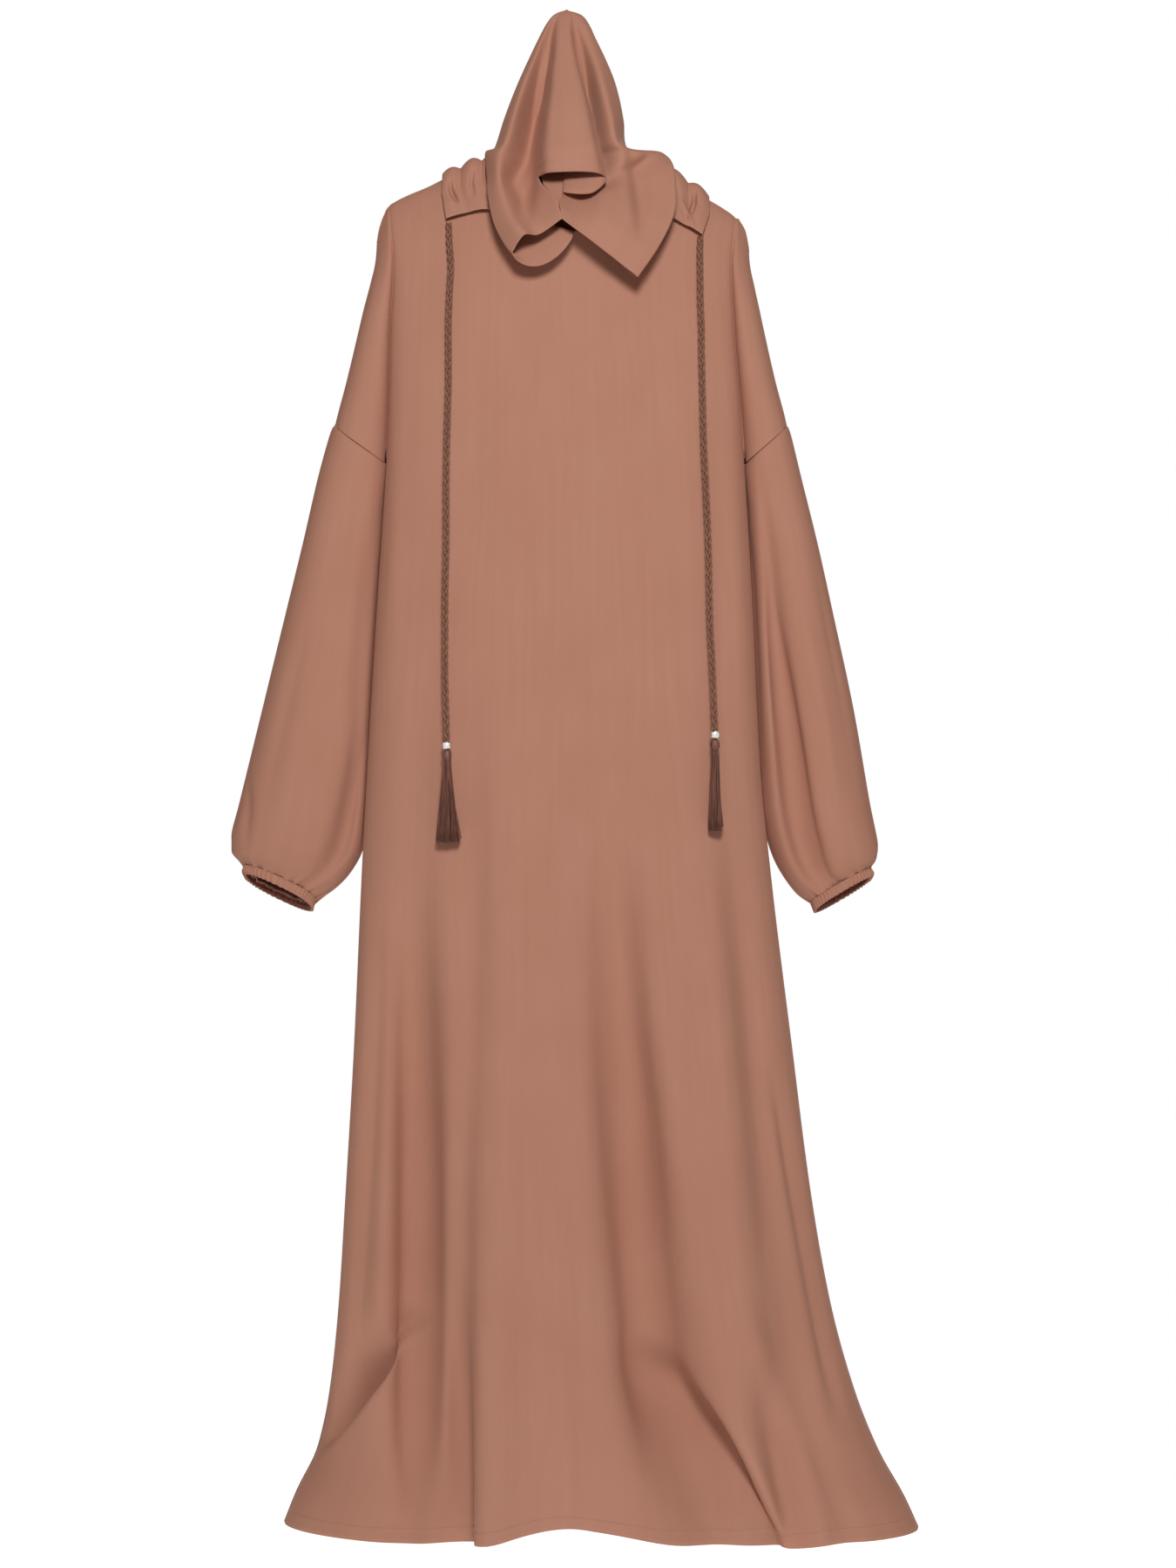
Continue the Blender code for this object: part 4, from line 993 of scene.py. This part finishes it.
def smooth_through(points, per, closed=False):
    """A smooth curve through points, per steps between neighbours. Points may be whole rows."""
    points = np.asarray(points, float)
    if closed:
        points = np.concatenate([points[-1:], points, points[:2]])
    elif points.ndim == 2:
        points = np.concatenate([points[:1], points, points[-1:]])
    else:
        before, after = 2 * points[:1] - points[1:2], 2 * points[-1:] - points[-2:-1]
        points = np.concatenate([before, points, after])
    return spline_rows(points, per)


def spline_rows(points, per):
    """The smooth curve between all but the first and the last of points."""
    t = (np.arange(per) / per).reshape((-1,) + (1,) * (points.ndim - 1))
    parts = []
    for a, b, c, d in zip(points, points[1:], points[2:], points[3:]):
        bend = (2 * a - 5 * b + 4 * c - d) * t * t + (3 * b - a - 3 * c + d) * t**3
        parts.append(0.5 * (2 * b + (c - a) * t + bend))
    return np.concatenate(parts + [points[-2][None]])


def hood_ring(row):
    """One closed ring of the hood, nape first, its nape following the back's neckline."""
    ring = smooth_through(hood_controls(row), PER_SPAN, closed=True)
    if row == NECK_ROW:
        place = np.arange(len(ring)) / PER_SPAN
        x = ring[:, 0]
        nape = ((place >= SIDE_SPAN) | (place < 2)) & (np.abs(x - NECK_X) < NECK_HALF_WIDTH - 3)
        seam = top_line(x, False)
        depth = panel_depth(x, across_top(x), seam, False, shoulder_line(x)) + SEAM_GAP / 2
        ring[:, 1] = np.where(nape, depth, ring[:, 1])
        ring[:, 2] = np.where(nape, seam - NECK_SEAM, ring[:, 2])
    return ring


def turn_row(wing, columns):
    """A wing's inner layer at one row, from its hidden edge to its fold."""
    share = np.linspace(0, 1, columns + 1)[:-1]
    x = wing.in_x + (wing.fold_x - wing.in_x) * share
    drop = wing.in_drop + (wing.fold_drop - wing.in_drop) * share
    drop = drop + wing.sag * np.sin(math.pi * share) ** SAG_POWER
    fore = wing.in_fore + (wing.fold_fore - wing.in_fore) * share**TURN_POWER
    return np.stack([x, -fore, drop], -1)


def hood_grids():
    """The hood's grids: its crown, its forehead hem and both wings with their inner layers."""
    side, edge = SIDE_SPAN * PER_SPAN, EDGE_SPAN * PER_SPAN
    rings = [hood_ring(row) for row in range(NECK_ROW + 1)]
    hem = smooth_through(hood_controls(HEM_ROW)[2 : SIDE_SPAN + 1], PER_SPAN)
    after = 2 * rings[-1] - rings[-2]
    after[2 * PER_SPAN : side + 1] = hem
    before = 2 * rings[0] - rings[1]
    crown = spline_rows(np.stack([before] + rings + [after]), PER_ROW)
    lefts = [
        smooth_through(wing_controls("left", step)[::-1], PER_SPAN)
        for step in range(1, len(WING_LEFT))
    ]
    rights = [
        smooth_through(wing_controls("right", step), PER_SPAN)
        for step in range(1, len(WING_RIGHT))
    ]
    beyond = 2 * hem - rings[-1][2 * PER_SPAN : side + 1]
    beyond[: 3 * PER_SPAN + 1] = lefts[0]
    beyond[(EDGE_SPAN - 2) * PER_SPAN :] = rights[0]
    front = slice(2 * PER_SPAN, side + 1)
    brow = spline_rows(np.stack([rings[-2][front], rings[-1][front], hem, beyond]), PER_ROW)

    left_rows = [hem[: 3 * PER_SPAN + 1]] + lefts
    turns = [turn_row(wing, TURN_COLUMNS) for wing in WING_LEFT]
    rows = [np.concatenate([turn, row]) for turn, row in zip(turns, left_rows)]
    above = np.concatenate([2 * turns[0] - turns[1], rings[-1][2 * PER_SPAN : 5 * PER_SPAN + 1]])
    left = spline_rows(np.stack([above] + rows + [2 * rows[-1] - rows[-2]]), PER_ROW)

    nape = np.concatenate([crown[-1, side:], crown[-1, 1 : 2 * PER_SPAN + 1]])
    inset, depth = NECK_ALLOWANCE
    allowance = np.stack([nape + (0, -inset * s, depth * s) for s in ALLOWANCE_STEPS])

    right_rows = [hem[(EDGE_SPAN - 2) * PER_SPAN :]] + rights
    above = rings[-1][edge : side + 1]
    right = spline_rows(np.stack([above] + right_rows + [2 * rights[-1] - rights[-2]]), PER_ROW)
    tucks = [turn_row(wing, TURN_COLUMNS)[::-1] for wing in WING_RIGHT[RIGHT_TURN_START:]]
    tuck = smooth_through(tucks, PER_ROW)
    tuck = np.concatenate([right[RIGHT_TURN_START * PER_ROW :, -1:], tuck], axis=1)
    inner = [smooth_through(row, INNER_PER_SPAN) for row in INNER_FOLD]
    inner = smooth_through(inner, INNER_PER_ROW)
    return crown, brow, left, right, tuck, allowance, inner


def press_hood(grid):
    """Presses the hood's creases into what hangs in front, along its depth."""
    forward = np.clip((-grid[..., 1] - PRESS_FROM) / PRESS_FADE, 0, 1)
    grid[..., 1] -= crease_push(HOOD_CREASES, grid[..., 0], grid[..., 2]) * forward


crown, brow, wing_left, wing_right, tuck, allowance, inner_fold = hood_grids()
creased = (crown, brow, wing_left, wing_right, tuck)
for grid in creased:
    press_hood(grid)
hood_sides = [(grid, True) for grid in (*creased, allowance, inner_fold)]
hood_shell = cloth("hood_shell", hood_sides, crepe_body, "hood")


# The drawstring's casing: a double band of crepe round the neck, gathered behind it. Its ends
# puff up over the shoulders and are stitched down just above their front hems.
Casing = namedtuple(
    "Casing", "outer outer_hem inner inner_hem front_length inner_longer back_length puffs shift"
)
CASING_LEFT = Casing(-129, -124, -84, -70, 50, 9, 56, 2.0, 0.16)
CASING_RIGHT = Casing(151, 143, 105, 104, 48, 5, 56, 2.0, 0.05)
CASING_HEM = 7
HEM_STANDS = 4.4
CASING_LIFT = 0.8
SOLID_WALL = 1.6
RIDGE_LIFT = 1.6
RIDGE_WIDTH = 12
PROBE = 1.5
HEM_START = 1.6
TUCK_SPAN = 44
PUFF_TOP = 6.0
PUFF_HEM = 1.6
BAND_LEFT = -85.6
BAND_RIGHT = 107.7
BAND_LENGTH = 58
BAND_PLEATS = 12
BAND_PLEAT_DEPTH = 4.0
BAND_START = 3
BAND_ROWS = 24
PER_BAND_PLEAT = 14


def section_point(x, walk):
    """The dress's own surface over the shoulder: walk is negative down the front."""
    line = shoulder_line(x)
    drop = line + np.abs(walk)
    fore, aft = (
        panel_depth(x, across_top(x), drop, front, line) + SEAM_GAP / 2 for front in (True, False)
    )
    return np.where(walk < 0, -fore, aft), drop


def lifted(x, walk, lift):
    """Points lifted off the dress's surface, square to its section over the shoulder."""
    y0, drop0 = section_point(x, walk - PROBE)
    y1, drop1 = section_point(x, walk + PROBE)
    y, drop = section_point(x, walk)
    length = np.hypot(y1 - y0, drop1 - drop0)
    lift = lift + RIDGE_LIFT * hump(walk, RIDGE_WIDTH)
    return np.stack([x, y + (drop1 - drop0) / length * lift, drop - (y1 - y0) / length * lift], -1)


def casing_grid(casing, columns, rows, tucks):
    """One puffed end of the casing, over a shoulder from the front hem to the back edge."""
    share = np.linspace(0, 1, columns + 1)[None, :]
    step = np.linspace(1, -1, rows + 1)[:, None]
    front_length = casing.front_length + casing.inner_longer * share
    length = np.where(step < 0, front_length, casing.back_length)
    walk = np.sign(step) * length * np.abs(step) ** TOP_SPACING
    over = 1 - np.abs(walk) / length
    hem_share = np.where(step < 0, 1 - np.minimum(over * HEM_START, 1.0), 0.0)
    inner = casing.inner + (casing.inner_hem - casing.inner) * hem_share
    outer = casing.outer + (casing.outer_hem - casing.outer) * hem_share
    x = outer + (inner - outer) * share
    puff = np.abs(np.sin(math.pi * (casing.puffs * share + casing.shift)))
    lift = SOLID_WALL + CASING_LIFT + puff * (PUFF_HEM + (PUFF_TOP - PUFF_HEM) * over)
    lift = lift + HEM_STANDS * hem_share
    walk = walk + 0 * share
    lift = lift + crease_push(tucks, share * TUCK_SPAN, walk)
    return lifted(x, walk, lift)


LEFT_TUCKS = (
    Crease(8, -8, 13, -42, 0, 1.8, 2.4, -6.5),
    Crease(33, -6, 27, -42, 0, 2.0, 2.6, -4.0),
    Crease(0, -30, 20, -42, 0, 2.0, 2.0, 1.0),
    Crease(20, 20, 18, 52, 0, 2.4, 2.4, -2.0),
)
RIGHT_TUCKS = (
    Crease(14, -4, 18, -40, 0, 2.2, 1.8, -7.5),
    Crease(28, -24, 10, -50, 0, 2.4, 2.4, 3.6),
    Crease(32, -10, 30, -40, 0, 2.2, 2.2, -1.4),
    Crease(20, 20, 22, 52, 0, 2.4, 2.4, -2.0),
)
casing_ends = {}
for side_name, casing, tucks, outwards in (
    ("left", CASING_LEFT, LEFT_TUCKS, True),
    ("right", CASING_RIGHT, RIGHT_TUCKS, False),
):
    casing_ends[side_name] = casing_grid(casing, 56, 90, tucks)
    grid = turned_up(casing_ends[side_name], CASING_HEM, outwards)
    node = "casing_" + side_name
    puffed = cloth("casing_shell_" + side_name, [(grid, outwards)], crepe_body, node)


def band_grid():
    """The gathered band behind the neck, from the back's neckline down."""
    share = np.linspace(0, 1, BAND_PLEATS * PER_BAND_PLEAT + 1)[None, :]
    down = np.linspace(0, 1, BAND_ROWS + 1)[:, None]
    x = BAND_LEFT + (BAND_RIGHT - BAND_LEFT) * share + 0 * down
    start = top_line(x, False) - shoulder_line(x) + BAND_START
    walk = start + (BAND_LENGTH - start) * down
    pleat = BAND_PLEAT_DEPTH * (0.5 - 0.5 * np.cos(2 * math.pi * BAND_PLEATS * share))
    return lifted(x, walk, SOLID_WALL + CASING_LIFT + pleat * (0.4 + 0.6 * down))


gathered_band = cloth("casing_shell_back", [(band_grid(), False)], crepe_body, "casing_back")


# The drawstrings: a flat braid of three soft cotton cords each, dyed brown, out of the front
# corner of each casing and down the front to a bead and a tassel.
BRAID_WIDTH = 7.2
STRAND = 2.7
BRAID_PERIOD = 27.0
BRAID_STEP = 1.1
BRAID_STRANDS = 3
STRAND_SIDES = 9
Route = namedtuple("Route", "x fore drop")
ROUTE_LEFT = (
    Route(-121, 29, 229),
    Route(-120, 36, 250),
    Route(-118, 44, 275),
    Route(-119, 49, 300),
    Route(-120, 53, 330),
    Route(-120, 55, 362),
    Route(-120, 57, 402),
    Route(-121, 59, 440),
    Route(-122, 61, 494),
    Route(-122, 62, 530),
    Route(-122, 64, 570),
    Route(-123, 65, 614),
    Route(-123, 67, 655),
    Route(-123, 68, 697),
    Route(-122, 70, 735),
    Route(-121, 71, 768),
)
ROUTE_RIGHT = (
    Route(141, 28, 243),
    Route(140, 35, 258),
    Route(140, 43, 280),
    Route(140, 48, 311),
    Route(141, 51, 340),
    Route(141, 53, 366),
    Route(142, 55, 412),
    Route(143, 57, 458),
    Route(145, 58, 502),
    Route(147, 60, 548),
    Route(148, 61, 581),
    Route(149, 63, 640),
    Route(151, 65, 681),
    Route(153, 67, 730),
    Route(154, 69, 757),
)
BRAID_DARK = "#54301F"
BRAID_LIGHT = "#9C6C54"


def thread_material(name, dark, light, fine_mm, long_mm, roughness=0.75):
    """Dyed thread: fibres that lie along the piece, seen as thin light and dark lines."""
    finish = {"Roughness": roughness, "Sheen Weight": 0.04, "Sheen Roughness": 0.4}
    material, tree, shader = shader_material(name, finish)
    where = add(tree, "ShaderNodeTexCoord").outputs["Object"]
    fibres = noise(tree, stretched(tree, where, (fine_mm, fine_mm, long_mm)), 1.0, 3.0, 0.6)
    share = ranged(tree, fibres, 0.35, 0.65)
    tree.links.new(dyed(tree, share, dark, light), shader.inputs["Base Color"])
    pebbled(tree, shader, fibres, 0.5, 0.15)
    return material


def tube_grid(path, radius, around):
    """A grid of points round a path, in rows along it, with the radius at each point."""
    forward = unit(np.gradient(path, axis=0))
    side = unit(np.cross(forward, np.array([0.0, 1.0, 0.0])))
    other = np.cross(side, forward)
    turn = np.linspace(0, 2 * math.pi, around + 1)[None, :, None]
    radius = np.broadcast_to(np.asarray(radius, float), (len(path),))[:, None, None]
    return path[:, None] + radius * (np.cos(turn) * side[:, None] + np.sin(turn) * other[:, None])


def solid_from(name, grids, material):
    """A mesh of closed tubes from grids of points, in millimetres with drop down, ends capped."""
    build = bmesh.new()
    layer = build.loops.layers.uv.new("cloth")
    for grid in grids:
        rows, columns = grid.shape[:2]
        columns -= 1
        length = running(np.linalg.norm(np.diff(grid[:, 0], axis=0), axis=1))
        girth = np.linalg.norm(grid[0, 1] - grid[0, 0]) * columns
        verts = [
            [build.verts.new((x * MM, y * MM, -d * MM)) for x, y, d in row[:columns]]
            for row in grid
        ]
        for r in range(rows - 1):
            for c in range(columns):
                after = (c + 1) % columns
                row, under = verts[r], verts[r + 1]
                face = build.faces.new((row[c], row[after], under[after], under[c]))
                face.smooth = True
                corners = ((r, c), (r, c + 1), (r + 1, c + 1), (r + 1, c))
                for loop, (at_row, at_column) in zip(face.loops, corners):
                    loop[layer].uv = (at_column / columns * girth * MM, length[at_row] * MM)
        build.faces.new(verts[0][::-1])
        build.faces.new(verts[-1])
    bmesh.ops.recalc_face_normals(build, faces=build.faces)
    thing = placed(name, meshed(name, build))
    thing.data.materials.append(material)
    return thing


def braid(side, route):
    """The three plaited strands along one route, and the route's own smooth line."""
    line = smooth_through([(p.x, -p.fore, p.drop) for p in route], 12)
    steps = running(np.linalg.norm(np.diff(line, axis=0), axis=1))
    at = np.linspace(0, steps[-1], int(steps[-1] / BRAID_STEP))
    path = np.stack([np.interp(at, steps, line[:, k]) for k in range(3)], -1)
    strands = []
    for strand in range(BRAID_STRANDS):
        phase = 2 * math.pi * (at / BRAID_PERIOD + strand / BRAID_STRANDS)
        weave = path.copy()
        weave[:, 0] += (BRAID_WIDTH - STRAND) / 2 * np.sin(phase)
        weave[:, 1] += STRAND / 2 * np.sin(2 * phase)
        strands.append(tube_grid(weave, STRAND / 2, STRAND_SIDES))
    return solid_from("braid_" + side, strands, braid_cotton), path


braid_cotton = thread_material("brown_cotton_cord", BRAID_DARK, BRAID_LIGHT, 0.5, 5.0)
ROUTES = {"left": ROUTE_LEFT, "right": ROUTE_RIGHT}
braids = {side_name: braid(side_name, route) for side_name, route in ROUTES.items()}


# The beads: cast and polished silver-coloured metal, cut in small flat facets, drilled through
# for the braid, which is knotted inside the tassel's head.
BEAD_RADIUS = 5.2
BEAD_FLAT = 0.924
BEAD_EDGE = 0.12
SILVER = "#D9D8D5"


def silver_material():
    """Polished cast metal with a light scuff, which leaves its facets bright and its edges dark."""
    finish = {"Base Color": colour(SILVER), "Metallic": 1.0}
    material, tree, shader = shader_material("polished_silver", finish)
    where = add(tree, "ShaderNodeTexCoord").outputs["Object"]
    scuff = ranged(tree, noise(tree, where, 900.0, 2.0), 0.3, 0.7, 0.12, 0.3)
    tree.links.new(scuff, shader.inputs["Roughness"])
    return material


silver = silver_material()


def bead_object(side, centre):
    """One faceted bead, flat at its two drilled ends."""
    ball = bmesh.new()
    bmesh.ops.create_icosphere(ball, subdivisions=2, radius=BEAD_RADIUS * MM)
    limit = BEAD_RADIUS * BEAD_FLAT * MM
    for vertex in ball.verts:
        vertex.co.z = min(max(vertex.co.z, -limit), limit)
    edges = list(ball.edges)
    bmesh.ops.bevel(
        ball, geom=edges, offset=BEAD_EDGE * MM, segments=1, affect="EDGES", profile=0.5
    )
    bmesh.ops.translate(ball, verts=ball.verts, vec=centre * MM)
    name = "bead_metal_" + side
    thing = placed(name, meshed(name, ball))
    thing.data.materials.append(silver)
    on_dress(thing, "bead_" + side)
    return thing


# The tassels: a hank of brown viscose thread folded over the drawstring's end, bound round
# below the fold, and cut. The left one lies spread, the right one hangs close.
HEAD_RADIUS = 4.8
HEAD_LENGTH = 10.5
Tassel = namedtuple("Tassel", "length half_width half_depth lean")
TASSEL_LEFT = Tassel(95, 13, 8, 1.5)
TASSEL_RIGHT = Tassel(94, 7.5, 7.5, 0.5)
THREADS = 210
THREAD_RADIUS = 0.36
THREAD_ROWS = 9
THREAD_SIDES = 4
HEAD_NARROW = 0.72
HEAD_ROWS = 30
HEAD_SIDES = 22
THREAD_START = 0.6
BINDINGS = 5
TASSEL_DARK = "#3C1B0F"
TASSEL_LIGHT = "#804B36"
TASSEL_SEED = 11


def tassel_object(side, top, tassel):
    """One tassel: its bound head and its loose threads, in one mesh."""
    random = np.random.default_rng(TASSEL_SEED)
    grids = []
    down = np.linspace(0, 1, THREAD_ROWS)
    root, start = HEAD_NARROW * HEAD_RADIUS, HEAD_LENGTH * THREAD_START
    for index in range(THREADS):
        share = math.sqrt((index + 0.5) / THREADS)
        angle = index * math.pi * (3 - math.sqrt(5))
        open_out = down**1.25
        width = root + (tassel.half_width - root) * open_out
        depth = root + (tassel.half_depth - root) * open_out
        swing = random.uniform(-0.8, 0.8)
        wave = swing * np.sin(down * random.uniform(2, 6) + random.uniform(0, 6))
        length = tassel.length - start - random.uniform(0, 4) * (0.4 + share)
        x = top[0] + math.cos(angle) * share * width + wave + tassel.lean * down**2
        y = top[1] + math.sin(angle) * share * depth + wave * 0.5
        path = np.stack([x, y, top[2] + start + length * down], -1)
        grids.append(tube_grid(path, THREAD_RADIUS * random.uniform(0.8, 1.2), THREAD_SIDES))
    profile = np.linspace(0, 1, HEAD_ROWS)
    swell = HEAD_RADIUS * (0.72 + 0.28 * np.sin(math.pi * np.clip(profile * 1.1, 0, 1)) ** 0.6)
    swell = swell + 0.35 * np.abs(np.sin(profile * math.pi * BINDINGS * 1.6)) * (profile > 0.45)
    swell[0] *= 0.6
    path = top + HEAD_LENGTH * profile[:, None] * (0, 0, 1)
    grids.append(tube_grid(path, swell, HEAD_SIDES))
    thing = solid_from("tassel_threads_" + side, grids, tassel_thread)
    on_dress(thing, "tassel_" + side)
    return thing


tassel_thread = thread_material("brown_viscose_thread", TASSEL_DARK, TASSEL_LIGHT, 1.4, 60.0, 0.5)
for side_name, tassel in (("left", TASSEL_LEFT), ("right", TASSEL_RIGHT)):
    last = ROUTES[side_name][-1]
    end = np.array([last.x, -last.fore, last.drop], float)
    flat = BEAD_RADIUS * BEAD_FLAT
    centre = end + (0, 0, flat + SEAM_GAP)
    bead_metal = bead_object(side_name, Vector((centre[0], centre[1], -centre[2])))
    threads = tassel_object(side_name, centre + (0, 0, flat + SEAM_GAP), tassel)
    plaited, path = braids[side_name]
    on_dress(plaited, "cord_" + side_name)


# The stitching: a lockstitch in soft terracotta thread on the hems of the hood, casings, cuffs
# and skirt, and a dark wine overlock along the raw edges that show inside the cuffs.
THREAD_LIGHT = "#C79A85"
OVERLOCK_THREAD = "#6B2A2C"
STITCH = 2.6
STITCH_PITCH = 3.4
STITCH_THICK = 0.42
OVERLOCK_BAR = 3.4
OVERLOCK_PITCH = 1.3
OVERLOCK_THICK = 0.7
CUFF_STITCH = 1.8
CUFF_STITCH_PITCH = 2.4


def plain_thread(name, hex_code):
    """Spun polyester sewing thread, matt and even."""
    return shader_material(name, {"Base Color": colour(hex_code), "Roughness": 0.65})[0]


def stitch_nodes():
    """Geometry nodes that lay one short thread at each step of a seam, along its lie."""
    tree = bpy.data.node_groups.new("stitch_row", "GeometryNodeTree")
    ports = tree.interface
    ports.new_socket("Geometry", in_out="INPUT", socket_type="NodeSocketGeometry")
    for name in ("Pitch", "Length", "Thickness"):
        ports.new_socket(name, in_out="INPUT", socket_type="NodeSocketFloat")
    ports.new_socket("Thread", in_out="INPUT", socket_type="NodeSocketMaterial")
    ports.new_socket("Geometry", in_out="OUTPUT", socket_type="NodeSocketGeometry")
    given = add(tree, "NodeGroupInput")
    curve = add(tree, "GeometryNodeMeshToCurve", {"Mesh": given.outputs["Geometry"]})
    steps = add(
        tree,
        "GeometryNodeResampleCurve",
        {"Curve": curve.outputs[0], "Length": given.outputs["Pitch"]},
        mode="LENGTH",
    )
    halved = {0: given.outputs["Thickness"], 1: 0.5}
    thick = add(tree, "ShaderNodeMath", halved, operation="MULTIPLY")
    thread = add(
        tree,
        "GeometryNodeMeshCylinder",
        {"Vertices": 6, "Radius": thick.outputs[0], "Depth": given.outputs["Length"]},
    )
    lie = add(tree, "GeometryNodeInputNamedAttribute", {"Name": "lie"}, data_type="FLOAT_VECTOR")
    turned = add(
        tree, "FunctionNodeAlignRotationToVector", {"Vector": lie.outputs["Attribute"]}, axis="Z"
    )
    placed = add(
        tree,
        "GeometryNodeInstanceOnPoints",
        {"Points": steps.outputs[0], "Instance": thread.outputs[0], "Rotation": turned.outputs[0]},
    )
    made = add(tree, "GeometryNodeRealizeInstances", {"Geometry": placed.outputs[0]})
    spun = {"Geometry": made.outputs[0], "Material": given.outputs["Thread"]}
    row = add(tree, "GeometryNodeSetMaterial", spun)
    add(tree, "NodeGroupOutput", {"Geometry": row.outputs[0]})
    return tree


def sewn(name, path, lie, pitch, length, thick, material):
    """One row of stitches along a path, in millimetres with drop down."""
    def flip(rows):
        return np.stack([rows[:, 0], rows[:, 1], -rows[:, 2]], -1)

    mesh = bpy.data.meshes.new(name)
    mesh.from_pydata((flip(path) * MM).tolist(), [(i, i + 1) for i in range(len(path) - 1)], [])
    lies = mesh.attributes.new("lie", "FLOAT_VECTOR", "POINT")
    lies.data.foreach_set("vector", flip(lie).reshape(-1))
    guide = placed(name + "_guide", mesh)
    rows = guide.modifiers.new("stitches", "NODES")
    rows.node_group = stitch_row
    values = {"Pitch": pitch * MM, "Length": length * MM, "Thickness": thick * MM}
    values["Thread"] = material
    for socket in stitch_row.interface.items_tree:
        if socket.in_out == "INPUT" and socket.name in values:
            rows[socket.identifier] = values[socket.name]
    bpy.context.view_layer.update()
    seen = guide.evaluated_get(bpy.context.evaluated_depsgraph_get())
    thing = placed(name, bpy.data.meshes.new_from_object(seen))
    bpy.data.objects.remove(guide)
    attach(thing, "root")
    return thing


def along_path(path):
    """The direction of a path at each of its points."""
    steps = np.gradient(path, axis=0)
    return steps / np.maximum(np.linalg.norm(steps, axis=1, keepdims=True), 1e-9)


def row_above(grid, outwards, depth, columns, lift=0.25, closed=False):
    """The points a depth above a grid's last row, lifted off its face."""
    steps = np.linalg.norm(np.diff(grid[:, grid.shape[1] // 2], axis=0), axis=1)[::-1]
    row = len(grid) - 2 - int(np.searchsorted(np.cumsum(steps), depth))
    normals = facing_out(grid, outwards, closed)
    return (grid + normals * lift)[row, columns]


stitch_row = stitch_nodes()
thread_tone = plain_thread("terracotta_thread", THREAD_LIGHT)
wine_thread = plain_thread("wine_overlock_thread", OVERLOCK_THREAD)
pipe_hem = row_above(brow, True, 12, slice(3 * PER_SPAN, 7 * PER_SPAN))
wing_hem = row_above(wing_left, True, 7, slice(2, TURN_COLUMNS - 2), lift=-CLOTH - 0.3)
for name, path in (
    ("pipe_hem_stitches", pipe_hem),
    ("wing_hem_stitches", wing_hem),
    ("front_hem_stitches", row_above(hems["front_panel"], True, 12, slice(4, -4))),
    ("back_hem_stitches", row_above(hems["back_panel"], False, 12, slice(4, -4))),
    ("casing_stitches_left", row_above(casing_ends["left"], True, 6, slice(2, -2))),
    ("casing_stitches_right", row_above(casing_ends["right"], False, 6, slice(2, -2))),
):
    sewn(name, path, along_path(path), STITCH_PITCH, STITCH, STITCH_THICK, thread_tone)
for side_name, (outer, turned, outwards) in cuff_edges.items():
    path = row_above(outer, outwards, 9, slice(None), closed=True)
    row_name, lie = "cuff_stitches_" + side_name, along_path(path)
    sewn(row_name, path, lie, CUFF_STITCH_PITCH, CUFF_STITCH, STITCH_THICK, thread_tone)
    edge = turned[-1]
    across = unit(turned[-3] - edge)
    slant = across + 0.35 * along_path(edge)
    edge = edge + unit(edge[:-1].mean(axis=0) - edge) * 1.0 + across * OVERLOCK_BAR * 0.35
    row_name = "cuff_overlock_" + side_name
    sewn(row_name, edge, slant, OVERLOCK_PITCH, OVERLOCK_BAR, OVERLOCK_THICK, wine_thread)
